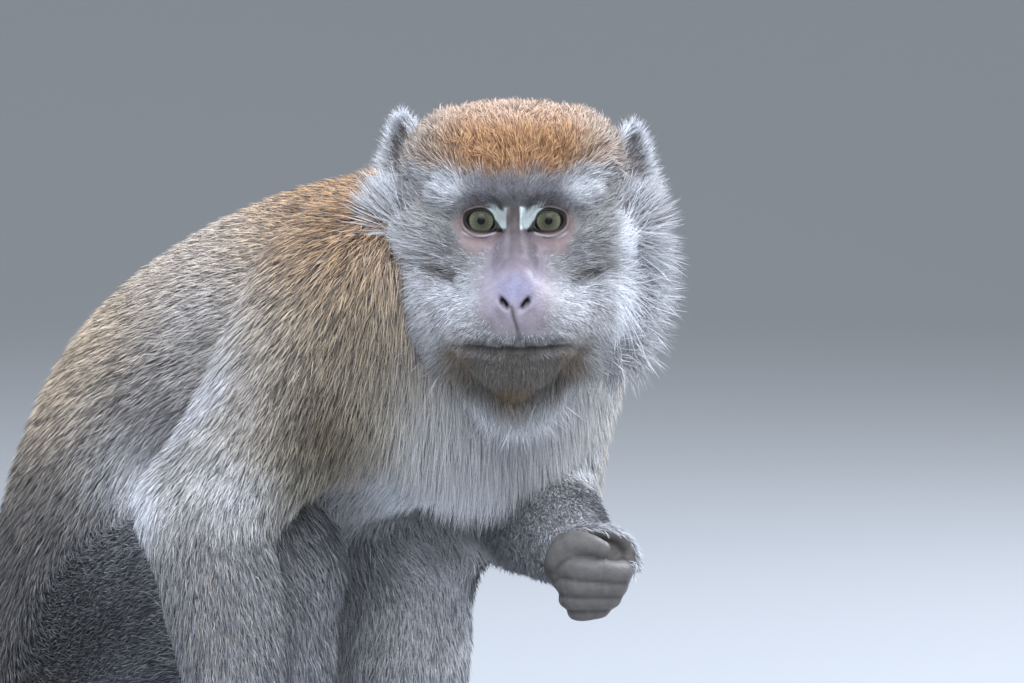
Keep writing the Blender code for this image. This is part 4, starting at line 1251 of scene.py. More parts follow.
def body_marks(points, normals, weights):
    """The body coat's base and tip colours: gold-speckled back, grey flanks, silver chest and belly, with
    painted shade on the shoulder's front, forearm and haunch and painted light on the upper arm's rear, the
    elbow, the far limbs, belly and lap.
    """
    torso = weights[TUBE_NAMES.index("torso")] + weights[TUBE_NAMES.index("neck")]
    by = {
        part: sum(weights[i] for i, name in enumerate(TUBE_NAMES) if name.startswith(part))
        for part in ("upper_arm", "forearm", "thigh", "shin", "tail")
    }
    x, y, z = points.T
    dorsal = normals @ np.array((0.0, 0.72, 0.69))
    front = -normals[:, 1]
    high = smooth(0.12, 0.26, z)
    marks = Markings(len(points), "grey", "grey_dark")
    mark = marks.add
    # Place across a view from the right front, negative towards the rear and the outer side
    beside = 0.707 * (-np.abs(x) + 0.0523) - 0.707 * (y + 0.0467)
    golden = bell(np.hypot(beside + 0.070, z - 0.355), 0.100)
    back = smooth(-0.25, 0.55, dorsal) * torso
    mark("gold", "brown_dark", back * (0.25 + 0.45 * high))
    mark("silver", "silver_base", 1.1 * smooth(0.10, -0.45, dorsal) * torso * smooth(-0.30, 0.25, front))
    mark("olive", "olive_dark", 0.9 * by["upper_arm"])
    upper = np.clip(back + by["upper_arm"], 0.0, 1.0) * golden
    mark("gold", "brown_dark", 0.9 * upper)
    mark("orange", "brown_dark", 0.8 * upper * smooth(0.40, 0.90, golden))
    nearer = 0.707 * (-np.abs(x) - y)  # towards the chest's side of the shoulder
    # Painted shade on the shoulder's front, towards the chest.
    shade = smooth(-0.050, 0.000, nearer + 0.15 * (z - 0.2)) * np.clip(by["upper_arm"] + torso, 0, 1)
    shade *= smooth(0.13, 0.18, z) * smooth(0.30, 0.26, z) * smooth(-0.048, -0.064, beside)
    mark("shade", "soot_dark", 0.95 * shade)
    mark("slate", "slate_dark", 0.7 * by["forearm"])
    mark("slate", "slate_dark", 0.8 * (by["thigh"] + by["shin"]))
    # Painted highlight: a pale streak along the upper arm's rear edge.
    share = np.clip((-0.132 - beside) / 0.053, 0.0, 1.0)
    highlight_streak = bell(z - 0.263 + 0.055 * share, 0.011) * smooth(-0.128, -0.142, beside)
    mark("white", "silver_base", 0.85 * highlight_streak * by["upper_arm"])
    # Painted light: the upper arm's rear side paler, whitest near the elbow, where the light falls on it.
    rear = smooth(-0.115, -0.155, beside) * by["upper_arm"]
    mark("silver", "silver_base", 0.45 * rear)
    rear = smooth(-0.155, -0.190, beside) * bell(z - 0.175, 0.045) * by["upper_arm"]
    mark("white", "silver_base", 0.8 * rear)
    # Painted shade: the rump and haunch darker towards the bottom and rear.
    wave = 0.010 * ripple(points, 0.03, 21)
    low = smooth(-0.025, 0.075, (0.190 - z) - 0.45 * (beside + 0.205) + wave)
    low = low * smooth(-0.2, 0.3, dorsal + 0.5)
    mark("soot", "soot_dark", 0.9 * low * np.clip(torso + 0.9 * by["thigh"], 0, 1) * smooth(0.12, 0.19, y))
    mark("mouse", "grey_dark", by["tail"])
    limbs = by["upper_arm"] + by["forearm"] + by["thigh"] + by["shin"]
    inner = smooth(0.15, 0.75, -np.sign(x) * normals[:, 0]) * limbs
    mark("silver", "silver_base", 0.5 * inner)
    # Partly the far limbs' pale inner coat, partly painted light: whitened on the sides that face the view.
    facing = smooth(-0.15, 0.50, -0.707 * (normals[:, 0] + normals[:, 1]))
    far = smooth(-0.03, 0.0, x) * facing
    mark("white", "white_base", 0.9 * (by["forearm"] + by["upper_arm"]) * far)
    mark("white", "silver_base", 0.8 * (by["thigh"] + by["shin"]) * far)
    # The pale belly, whitened further just under the chest as painted light where the chest's shadow falls.
    belly = smooth(0.30, 0.24, z) * smooth(0.0, -0.5, dorsal) * torso * smooth(-0.064, -0.048, beside)
    mark("white", "silver_base", 0.35 * belly)
    mark("white", "white_base", 1.2 * belly * smooth(0.215, 0.185, z))
    # Painted light on the thighs, shins and lower belly under the chest, which lie in shadow.
    lap_painted_light = smooth(0.12, 0.16, z) * smooth(0.225, 0.200, z) * smooth(-0.080, -0.055, beside)
    mark("white", "white_base", 0.95 * lap_painted_light * (by["thigh"] + by["shin"] + torso * smooth(0.2, -0.3, dorsal)))
    for across, up, size, tip_tint, base_tint, amount in BODY_PATCHES:
        patch = np.exp(-(((beside - across) ** 2 + (z - up) ** 2) / size**2)) * smooth(0.05, -0.05, x)
        mark(tip_tint, base_tint, amount * patch)
    return marks.base, marks.tip


def body_plan(points, normals):
    """Size, lie, lift and colour of each hair of the body, from the tube of flesh that it grows on."""
    weights, nearest, shares, angles, lie = body_map(points)
    sizes = np.zeros((3, len(points)))
    for i, name in enumerate(TUBE_NAMES):
        row = next(HAIR_SIZES[key] for key in HAIR_SIZES if name.startswith(key))
        sizes += weights[i] * np.array(row)[:, None]
    length, lift, width = sizes
    base, tip = body_marks(points, normals, weights)
    torso = weights[TUBE_NAMES.index("torso")] + weights[TUBE_NAMES.index("neck")]
    front = smooth(0.05, 0.75, -normals[:, 1]) * torso * smooth(0.155, 0.205, points[:, 2])
    lie = lie + (2.5 * front)[:, None] * np.array((0.0, -0.15, -1.0))
    length = length * (1.0 + 1.25 * front)
    width = width * (1.0 - 0.38 * front)
    lift = lift * (1.0 + 0.25 * front)
    pale = smooth(0.45, 0.70, tip[:, 1])  # pale hairs carry few dark bands
    return {
        "lie": lie,
        "length": length,
        "lift": lift,
        "width": width,
        "base": base,
        "tip": tip,
        "droop": 0.10 + 0.25 * front,
        "speckle": (0.34 - 0.28 * front) * (1.0 - 0.6 * pale),
        "band": (0.55 - 0.50 * front) * (1.0 - 0.8 * pale),
        "unwrap": np.stack([angles / (2 * math.pi) + 0.5, shares], axis=1),
        "nearest": nearest,
    }


def head_marks(points):
    """The head coat's base and tip colours, from head coordinates, with painted shade under the brows and in
    the cheek creases and painted rim light on the right whiskers.
    """
    x, y, z = points.T
    ax = np.abs(x)
    flat = np.stack([ax, y], axis=1)
    front = smooth(-0.032, -0.012, z)
    marks = Markings(len(points), "silver", "silver_base")
    mark = marks.add
    cheek = smooth(0.014, 0.026, ax) * smooth(0.010, 0.000, y) * smooth(-0.031, -0.022, y)
    mark("mouse", "grey_dark", 0.62 * cheek * smooth(-0.045, -0.020, z))
    patch = bump(flat, (0.026, -0.040), (0.013, 0.010)) * front
    mark("white", "silver_base", 0.45 * patch)
    wave = 0.0022 * ripple(points, 0.018, 3)
    # Painted shade: a dark band of hair above each eye, under the brow.
    above = bell(y - 0.0078 + 0.0020 * np.clip((ax - EYE_OUT) / 0.010, 0, 2), 0.0017)
    mark("soot", "dusk_base", 0.8 * above * smooth(0.034, 0.026, ax) * front)
    under = bump(flat, (0.0300, -0.0140), (0.0080, 0.0060)) * front
    mark("dusk", "grey_dark", 0.7 * under)
    crown = smooth(0.0150, 0.0215, y + wave - 0.14 * ax - 0.45 * np.minimum(z + 0.030, 0.0))
    mark("rust_light", "rust", crown)
    side = crown * smooth(0.020, 0.042, ax)
    mark("grey", "brown", 0.75 * side)
    nape = smooth(-0.055, -0.085, z) * smooth(-0.045, -0.010, y)
    mark("gold", "brown_dark", nape)
    middle = smooth(0.029, 0.021, ax) * smooth(-0.002, 0.006, y) * smooth(0.026, 0.016, y) * front
    mark("dusk", "dusk_base", 0.95 * middle)
    between = smooth(0.016, 0.008, ax) * smooth(-0.004, 0.002, y) * smooth(0.014, 0.009, y) * front
    mark("soot", "dusk_base", 0.8 * between)
    bloom = smooth(0.036, 0.050, y) * smooth(-0.10, -0.06, z)
    mark("pink_grey", "brown", 0.55 * bloom)
    brow = bump(flat, (0.0345, 0.0140), (0.0085, 0.0072)) * front
    mark("white", "white_base", 1.3 * brow)
    temple = bump(flat, (0.046, 0.006), (0.009, 0.019)) * smooth(-0.07, -0.03, z)
    mark("mouse", "grey_dark", 1.1 * temple)
    # Painted shade in the cheek creases, as on the skin beneath.
    crease = (y + 0.0262 - 0.36 * (ax - 0.0335)) / 0.0024
    mark("soot", "soot", 1.7 * np.exp(-(((ax - 0.0335) / 0.0070) ** 2) - crease**2) * front)
    mark("mouse", "grey_dark", 0.9 * bump(flat, (0.052, 0.015), (0.009, 0.012)) * smooth(0.0, 0.02, x))
    mark("white", "white_base", 0.8 * bump(np.stack([x, y], 1), (-0.053, -0.019), (0.010, 0.012)))
    line = y - mouth_height(x)
    lip = smooth(0.0085, 0.0035, line) * smooth(-0.003, -0.001, line) * smooth(0.028, 0.018, ax) * front
    mark("soot", "grey_dark", 0.85 * lip)
    mark("soot", "soot", 1.3 * bump(flat, (0.0, -0.0612), (0.0120, 0.0036)) * front)
    chin = smooth(0.001, -0.005, line) * smooth(0.036, 0.022, ax) * smooth(-0.030, -0.010, z)
    mark("chin", "chin_base", 0.95 * chin)
    corner = bump(flat, (0.0285, -0.064), (0.0070, 0.0100)) * front
    mark("tawny", "brown", 0.75 * corner)
    tuft = bump(np.stack([x, y], 1), (-0.002, -0.0815), (0.010, 0.0040)) * front
    mark("tawny", "chin_base", 1.4 * tuft)
    ruff = smooth(0.044, 0.052, ax) * smooth(0.016, 0.000, y) * smooth(-0.010, -0.030, z)
    # The cheek whiskers are white; on the right side they reach further in and are whitened as painted rim
    # light.
    ruff = np.maximum(ruff, smooth(0.042, 0.052, x) * smooth(0.012, -0.004, y))
    mark("white", "white", 1.1 * ruff)
    throat = smooth(-0.074, -0.084, y + 0.3 * z) * smooth(0.0, -0.02, z)
    mark("white", "white_base", 1.2 * throat)
    speckled = ripple(points, 0.0045, 8) * (1 - crown) * (1 - chin)
    mark("dusk", "grey_dark", 0.35 * smooth(0.1, 0.8, speckled) * smooth(0.055, 0.045, ax))
    mottle = smooth(-0.2, 0.9, ripple(points, 0.007, 5)) * (1 - crown) * (1 - chin)
    mark("white", "silver_base", 0.30 * mottle * (1 - middle))
    return marks.base, marks.tip


def head_bare(points):
    """How bare the head's skin is: eyelids, nose and the middle of the muzzle, lips."""
    x, y, z = points.T
    ax = np.abs(x)
    front = smooth(-0.015, 0.000, z)
    inward = EYE_OUT - ax
    lids = smooth(1.10, 0.95, np.sqrt((inward / 0.0136) ** 2 + ((y + 0.0016) / 0.0092) ** 2))
    orbit = 0.74 * np.exp(-(((ax - 0.015) / 0.012) ** 4) - ((y + 0.011) / 0.006) ** 4)
    ridge = 1.0 * bell(x, 0.010, 4) * smooth(0.004, -0.004, y) * smooth(-0.030, -0.018, y)
    nose = np.clip(1.5 * np.exp(-((x / 0.0155) ** 2) - ((y + 0.0340) / 0.0175) ** 4), 0, 1)
    between = smooth(0.0065, 0.0040, ax) * smooth(0.0085, 0.0050, y) * smooth(-0.01, -0.002, y)
    lip = bell(x, 0.0165, 4) * smooth(-0.0545, -0.048, y) * smooth(-0.025, -0.040, y)
    mouth = bell(y - mouth_height(x), 0.0012) * smooth(0.034, 0.020, ax)
    bare = np.maximum.reduce([lids, orbit, ridge, 0.93 * nose, between, 0.85 * lip, 0.6 * mouth])
    ear = smooth(0.0185, 0.0150, np.hypot(ax - 0.048, (y - 0.024) * 0.8)) * smooth(-0.046, -0.056, z)
    return np.maximum(bare * front, 0.7 * ear)


def head_plan(points):
    """Size, lie, lift and colour of each hair of the head, in head coordinates."""
    x, y, z = points.T
    ax, sign = np.abs(x), np.sign(x)
    crown = smooth(0.012, 0.030, y - 0.3 * np.minimum(z + 0.02, 0.0))
    nape = smooth(-0.060, -0.085, z)
    throat = smooth(-0.060, -0.078, y)
    side = smooth(0.024, 0.044, ax) * (1 - crown)
    low = smooth(-0.015, -0.055, y)
    away = unit(np.stack([x * 1.4, y + 0.030, np.full(len(x), 0.0)], axis=1))
    lie = away + np.array((0.0, 0.0, -0.25))
    lie = lie * (1 - crown)[:, None] + crown[:, None] * np.stack([sign * 0.25, 0.75 + 0 * x, -0.8 + 0 * x], 1)
    behind = smooth(-0.030, -0.050, z) * smooth(-0.030, -0.010, y) * smooth(0.020, 0.005, y)
    outward = np.stack([sign * (1.0 + behind), 0.30 - 1.15 * low, -0.75 + 0.1 * low + behind], axis=1)
    lie = lie + (1.6 * side)[:, None] * outward
    lie = lie + (2.0 * throat)[:, None] * np.array((0.0, -1.0, -0.35))
    lie = lie + (2.0 * nape)[:, None] * np.array((0.0, -0.55, -1.0))
    reach = smooth(0.000, -0.045, z)
    beard = side * reach * smooth(0.016, -0.006, y)
    length = 0.0042 + 0.003 * smooth(0.018, 0.034, ax) + 0.029 * beard
    length = length + crown * (0.0045 + 0.0025 * reach) + 0.010 * nape
    length = length + 0.019 * throat * smooth(0.012, -0.020, z)
    length = length + 0.012 * bump(np.stack([x, y], 1), (-0.057, -0.008), (0.010, 0.012))
    length = length + 0.005 * bump(np.stack([x, y], 1), (0.0, -0.082), (0.012, 0.006))
    length = length + 0.0016 * crown * smooth(0.030, 0.008, ax) + 0.0012 * crown * ripple(points, 0.012, 9)
    lift = 22.0 + 16.0 * crown + 28.0 * beard + 12.0 * throat
    sway = (0.22 + 0.45 * crown)[:, None] * np.stack([ripple(points, 0.010, k) for k in (11, 12, 13)], axis=1)
    lie = lie + sway
    base, tip = head_marks(points)
    flat = np.arctan2(x, z + 0.045) / (2 * math.pi) + 0.5
    tall = (y + 0.095) / 0.165
    return {
        "lie": lie,
        "length": length,
        "lift": lift,
        "width": 0.00036 + 0.0060 * (length - 0.0045),
        "base": base,
        "tip": tip,
        "droop": 0.04 + 0.10 * side * low + 0.25 * throat,
        "speckle": 0.22 * crown + 0.12,
        "band": 0.35 * crown + 0.05,
        "unwrap": np.stack([flat, np.clip(tall, 0.0, 1.0)], axis=1),
    }


UV_PATCH = 0.003  # side of each hair's patch on the unwrap
HAIR_LOW = 0.0006  # no hair comes nearer the ground than this
ROOT_DEPTH = 0.0008  # how far below the skin a hair starts
STRAY = 0.17  # how far short hairs stray from the lie of the coat; long ones stray less


# Segments of a blade: shares along it, widths of all but the tip, and how far its colour has run
BLADES = {
    2: ((0.0, 0.5, 1.0), (0.9, 0.75), (0.10, 0.8, 1.0)),
    3: ((0.0, 0.42, 0.76, 1.0), (0.65, 1.0, 0.85), (0.0, 0.15, 1.0, 1.0)),
}


def grow(name, slot, roots, normals, plan, steps, seed, clump, pull):
    """A piece of coat: flat, tapering, bent blades, one for each root.

    Each blade leaves the skin at its lift, leans over to lie along the coat, and its tip is drawn by the
    pull towards the middle of its clump, whose size is given. Widths fall to a point. Colours run from
    base to tip, and some blades have dark tips.
    """
    rng = np.random.default_rng(seed)
    count = len(roots)
    stray = STRAY * smooth(0.060, 0.008, plan["length"]) * np.linalg.norm(plan["lie"], axis=1)
    lie = plan["lie"] + rng.normal(0.0, 1.0, (count, 3)) * stray[:, None]
    along = unit(lie - (lie * normals).sum(1)[:, None] * normals)
    side = np.cross(normals, along)
    roll = rng.normal(0.0, 0.55, (count, 1))
    across = side * np.cos(roll) + normals * np.sin(roll)
    length = plan["length"] * rng.uniform(0.72, 1.22, count)
    lift = np.radians(plan["lift"]) * rng.uniform(0.65, 1.40, count)
    bend = rng.normal(0.0, 0.07, count)
    key = np.floor(roots / clump + 0.35 * np.sin(roots[:, [1, 2, 0]] * 4.0 / clump)).astype(int)
    _, cell = np.unique(key, axis=0, return_inverse=True)
    cell = cell.ravel()
    number = np.bincount(cell)
    middle = np.stack([np.bincount(cell, roots[:, i]) / number for i in range(3)], axis=1)[cell]
    drawn = middle - roots
    s, thick, ramp = (np.array(row) for row in BLADES[steps])
    at = (s[1:] + s[:-1]) / 2
    angle = lift[:, None] * (1.25 - 0.85 * at)
    step = (length[:, None] * np.diff(s))[..., None] * (
        np.cos(angle)[..., None] * along[:, None] + np.sin(angle)[..., None] * normals[:, None]
    )
    path = np.concatenate([np.zeros((count, 1, 3)), np.cumsum(step, axis=1)], axis=1)
    path += (s**2)[:, None] * (side * (bend * length)[:, None])[:, None]
    path[..., 2] -= (plan["droop"] * length)[:, None] * s**2
    path += (pull * s**1.5)[:, None] * drawn[:, None]
    path += (roots - normals * ROOT_DEPTH)[:, None]
    half = plan["width"][:, None] * thick / 2
    edge = across[:, None] * half[..., None]
    body = np.stack([path[:, :-1] - edge, path[:, :-1] + edge], axis=2).reshape(count, -1, 3)
    verts = np.concatenate([body, path[:, -1:]], axis=1)
    each = 2 * steps + 1
    start = (np.arange(count) * each)[:, None]
    quads = np.concatenate([start + np.array((k, k + 2, k + 3, k + 1)) for k in range(0, 2 * steps - 2, 2)])
    tips = start + np.array((each - 3, each - 1, each - 2))
    band = rng.random(count) < plan["band"]
    dark = rng.random(count) < plan["speckle"]
    shade = rng.normal(1.0, 0.14, count)
    shade = shade + 0.09 * ripple(roots, 0.02, seed) + 0.12 * ripple(roots, 0.006, seed)
    shade = np.clip(shade, 0.45, 1.7)[:, None]
    end = np.where(dark[:, None], plan["base"] * 1.15, plan["tip"]) * shade
    start_tint = plan["base"] * shade
    level = np.tile(np.concatenate([np.repeat(ramp[:-1], 2), ramp[-1:]]), (count, 1))
    level[band, -1] = 0.15
    colours = start_tint[:, None] + level[..., None] * (end - start_tint)[:, None]
    uv = np.empty((count, each, 2))
    uv[:] = (plan["unwrap"] * (1 - UV_PATCH))[:, None]
    uv[:, :, 1] += UV_PATCH * np.concatenate([np.repeat(s[:-1], 2), [1.0]])
    uv[:, :, 0] += UV_PATCH * np.concatenate([np.tile((0.0, 1.0), steps), [0.5]])
    verts = verts.reshape(-1, 3)
    verts[:, 2] = np.maximum(verts[:, 2], HAIR_LOW)
    made = new_mesh(name, verts, [quads, tips])
    layer = made.data.uv_layers.new(name="OFBake")
    loops = np.empty(len(made.data.loops), np.int32)
    made.data.loops.foreach_get("vertex_index", loops)
    layer.data.foreach_set("uv", uv.reshape(-1, 2)[loops].astype(np.float32).ravel())
    paint(made, colours.reshape(-1, 3))
    made.data.materials.append(bpy.data.materials.get("macaque_hair") or hair_material())
    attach(made, "root")
    return made


def hair_material():
    """Fine, dry animal hair: the tint along each blade, a soft gloss and a pale bloom at grazing angles."""
    made, tree, out = new_material("macaque_hair")
    grain = texture(tree, "ShaderNodeTexNoise", Scale=700.0, Detail=2.0)
    colour = mottled(tree, grain, 0.85, 1.15)
    finish_shader(
        tree, out,
        {"Roughness": 0.62, "IOR": 1.55, "Specular IOR Level": 0.35, "Sheen Weight": 0.12,
         "Sheen Tint": (*linear("DDE3EC"), 1.0)},
        {"Base Color": colour.outputs[2]},
    )
    return made


# Piece: how many blades, the tubes that it covers, and from and to which share of the torso
BODY_PIECES = {
    "coat_neck": (35000, ("torso", "neck"), 0.80, 1.01),
    "coat_torso_upper": (57000, ("torso",), 0.45, 0.80),
    "coat_torso_lower": (54000, ("torso",), -0.01, 0.45),
    "coat_arm_right": (57000, ("upper_arm_right", "forearm_right"), -0.01, 1.01),
    "coat_arm_left": (37000, ("upper_arm_left", "forearm_left"), -0.01, 1.01),
    "coat_leg_right": (31000, ("thigh_right", "shin_right"), -0.01, 1.01),
    "coat_leg_left": (31000, ("thigh_left", "shin_left"), -0.01, 1.01),
    "coat_tail": (13000, ("tail",), -0.01, 1.01),
}
HEAD_PIECES = {"coat_face": (48000, 2), "coat_crown": (30000, 3), "coat_ruff": (36000, 3)}  # segments too
EAR_BLADES, HAND_BLADES = 4600, 2600  # for each ear, and for each hand or foot
SEAT_PADS = (0.022, 0.262, 0.006)  # their middle, to either side
PAD_REACH = (0.020, 0.024, 0.014)  # bare skin round it, as half sizes


def near_pads(points):
    """How near the points are to the bare seat pads."""
    off = np.stack([np.abs(points[:, 0]), points[:, 1], points[:, 2]], 1) - SEAT_PADS
    return np.linalg.norm(off / PAD_REACH, axis=1)


def make_body_coat(density, reach):
    """The body's coat, in pieces by part, its hairs' lengths times the reach."""
    verts, faces = SURFACES["body"]
    _, nearest, shares, _, _ = body_map(verts)
    buried = head_field(to_head(verts)) < -0.002
    open_skin = (near_pads(verts) > 1.0) & ~buried & (verts[:, 2] > 0.002)
    for number, (name, (count, tubes, low, high)) in enumerate(BODY_PIECES.items()):
        wanted = np.isin(nearest, [TUBE_NAMES.index(t) for t in tubes])
        inside = (shares > low) & (shares < high) | (nearest != TUBE_NAMES.index("torso"))
        rng = np.random.default_rng(20 + number)
        share = (wanted & inside & open_skin).astype(float)
        roots, normals = scatter(verts, faces, share, int(count * density), rng)
        plan = body_plan(roots, normals)
        row = np.zeros(len(roots))
        for k, tube in enumerate(tubes):
            row[plan["nearest"] == TUBE_NAMES.index(tube)] = k
        plan["unwrap"][:, 1] = (plan["unwrap"][:, 1] + row) / len(tubes)
        plan["length"] = plan["length"] * reach
        slot = "coat_back" if "torso" in tubes else "coat_limb"
        grow(name, slot, roots, normals, plan, 2, 50 + number, 0.003, 0.3)


def full_plan(count, **facts):
    """A plan for so many hairs, where single values hold for each of them."""
    plan = {}
    for key, value in facts.items():
        shape = np.shape(value)
        plan[key] = np.broadcast_to(value, shape if shape[:1] == (count,) else (count, *shape))
    return plan


def joined(parts, reach):
    """Roots, normals and plans of several parts as one, the hairs' lengths times the reach."""
    roots, normals = (np.concatenate([part[i] for part in parts]) for i in (0, 1))
    plan = {key: np.concatenate([part[2][key] for part in parts]) for key in parts[0][2]}
    plan["length"] = plan["length"] * reach
    return roots, normals, plan


def make_ear_coat(density, reach):
    """Pale fringes round the ears' rims and short hair over their backs."""
    parts = []
    for sign in (-1.0, 1.0):
        verts, faces = SURFACES[f"ear_{sign:.0f}"]
        s = np.concatenate([np.linspace(0.04, 1.0, EAR_RINGS), np.linspace(1.0, 0.04, EAR_RINGS)])
        s = np.append(np.repeat(s, EAR_SIDES), (0.0, 0.0))
        behind = np.append(np.repeat(np.arange(2 * EAR_RINGS) >= EAR_RINGS, EAR_SIDES), (False, True))
        inside = 2.2 if sign < 0 else 0.5  # the right ear's bowl is hairy, the left one's nearly bare
        share = np.where(behind, 1.0 + 2.0 * (s > 0.8), inside + 2.4 * smooth(0.62, 0.95, s))
        scant = 0.6 * ripple(verts, 0.006, 31) if sign > 0 else 0.0
        share = share * np.clip(1.0 + scant, 0.2, 2.0)
        rng = np.random.default_rng(70 + int(sign))
        roots, normals = scatter(verts, faces, share, int(EAR_BLADES * density), rng)
        centre = EAR_PLACES[sign]
        out = roots - centre
        far = np.linalg.norm(out / (0.014, 0.024, 0.016), axis=1)
        lie = unit(out) * 1.2 + np.array((sign * 0.25, 0.55, 0.15))
        edge = smooth(0.55, 1.0, far)
        plan = full_plan(
            len(roots),
            lie=head_normals(lie),
            length=0.0045 + 0.0045 * edge + 0.0035 * edge * smooth(0.3, -0.4, unit(out)[:, 1]),
            lift=26.0,
            width=0.00042,
            base=HAIR["silver_base"],
            tip=toward(np.tile(HAIR["silver"], (len(roots), 1)), "white", edge),
            droop=0.0,
            speckle=0.05,
            band=0.0,
            unwrap=np.stack([0.25 + 0.5 * (sign > 0) + out[:, 1] * 7, 0.5 + out[:, 2] * 7], 1),
        )
        parts.append((from_head(roots), head_normals(normals), plan))
    grow("coat_ears", "coat_pale", *joined(parts, reach), 2, 71, 0.003, 0.25)


def head_normals(normals):
    """Head directions to body directions."""
    return normals @ HEAD_AXES


def make_hand_coat(density, reach):
    """Short hair on the backs of the hands and feet, thinning towards the fingers and toes."""
    parts = []
    for number, name in enumerate(HANDS):
        verts, faces = SURFACES[name]
        normals = vertex_normals(verts, faces)
        if name == "hand_left":
            local = (verts - FIST_CENTRE) @ fist_axes().T
            outer = (normals @ fist_axes().T)[:, 1]
            share = smooth(-0.010, -0.016, local[:, 0]) * smooth(-0.2, 0.4, normals[:, 2] - outer)
            edge = smooth(0.018, 0.021, local[:, 2]) + smooth(-0.014, -0.018, local[:, 1])
            share = share + 0.8 * edge * smooth(0.45, 0.85, np.maximum(normals[:, 2], -outer))
            share = share * smooth(-0.004, 0.002, local[:, 2]) * smooth(0.003, 0.000, local[:, 0])
            lie = np.array((0.2, -0.75, -0.45))
            length = 0.0070
        else:
            wrist = verts[:, 1].max()
            joint = smooth(0.085 if "foot" in name else 0.055, 0.0, wrist - verts[:, 1])
            share = smooth(0.0, 0.5, normals[:, 2]) * joint * (verts[:, 2] > 0.005)
            lie = np.array((0.0, -1.0, -0.1))
            length = 0.0060
        rng = np.random.default_rng(60 + number)
        roots, out = scatter(verts, faces, share + 1e-9, int(HAND_BLADES * density), rng)
        middle, size = verts.mean(axis=0), np.ptp(verts, axis=0).max()
        corner = np.array((number % 2, number // 2)) * 0.5
        plan = full_plan(
            len(roots),
            lie=lie,
            length=length,
            lift=16.0,
            width=0.00038,
            base=HAIR["slate_dark"],
            tip=HAIR["white"],
            droop=0.05,
            speckle=0.2,
            band=0.0,
            unwrap=corner + 0.25 + 0.45 * ((roots - middle) / size)[:, :2],
        )
        parts.append((roots, out, plan))
    grow("coat_hands", "coat_limb", *joined(parts, reach), 2, 65, 0.003, 0.2)


def make_head_coat(density, reach):
    """The head's coat: short on the face, longer on the crown, longest in the ruff and under the chin."""
    verts, faces = SURFACES["head"]
    _, y, z = verts.T
    buried = body_field(from_head(verts)) < -0.003
    bare = head_bare(verts)
    face = smooth(-0.030, -0.018, z) * smooth(0.026, 0.018, y)
    crown = smooth(0.018, 0.026, y) + smooth(-0.060, -0.070, z) * smooth(-0.03, -0.02, y)
    crown = np.clip(crown, 0, 1)
    cover = (face, crown, np.clip(1.0 - face - crown, 0.0, 1.0))
    for number, (name, (count, steps)) in enumerate(HEAD_PIECES.items()):
        rng = np.random.default_rng(80 + number)
        share = np.where(buried, 0.0, cover[number] * (1.0 - bare)) + 1e-9
        roots, normals = scatter(verts, faces, share, int(count * density), rng)
        plan = head_plan(roots)
        thin = head_bare(roots)
        plan["length"] = plan["length"] * (1.0 - 0.5 * thin) * reach
        plan["width"] = plan["width"] * (1.0 - 0.35 * thin)
        plan["lie"] = head_normals(plan["lie"])
        slot = "coat_crown" if name == "coat_crown" else "coat_pale"
        grow(name, slot, from_head(roots), head_normals(normals), plan, steps, 90 + number, 0.004, 0.3)


# ---------------------------------------------------------------- stage
VIEW_AZIMUTH, VIEW_ELEVATION = 315.0, 4.0
VIEW_DISTANCE, VIEW_LENS, VIEW_SENSOR = 2.788, 200.0, 36.0
VIEW_TARGET = (-0.0523, -0.0467, 0.2737)  # in body coordinates
LIGHT_TARGET = (-0.02, 0.06, 0.22)
LIGHTS = {  # azimuth, elevation, distance, size, energy, whose strength, colour
    "sky": (340.0, 72.0, 2.6, 2.6, 80.0, "key", "DCE8FF"),
    "front_fill": (VIEW_AZIMUTH + 6.0, 36.0, 2.8, 2.0, 46.0, "fill", "F3F6FF"),
    "rim_right": (75.0, 38.0, 2.2, 1.0, 58.0, "key", "F0F4FF"),
    "rim_left": (215.0, 42.0, 2.4, 1.2, 36.0, "key", "DCE8FF"),
}


def way_to(azimuth, elevation):
    """The direction from the animal to something round it, from angles in radians."""
    level = math.cos(elevation)
    return Vector((math.sin(azimuth) * level, -math.cos(azimuth) * level, math.sin(elevation)))


def area_light(name, azimuth, elevation, distance, size, energy, colour, aim):
    """A soft square light, placed round the animal and turned to it."""
    lamp = bpy.data.lights.new(name, "AREA")
    lamp.shape = "SQUARE"
    lamp.size, lamp.energy = size, energy
    lamp.color = [float(c) for c in linear(colour)]
    made = bpy.data.objects.new(name, lamp)
    way = way_to(math.radians(azimuth), math.radians(elevation))
    made.location = aim + way * distance
    made.rotation_euler = way.to_track_quat("Z", "Y").to_euler()
    bpy.context.scene.collection.objects.link(made)
    return made


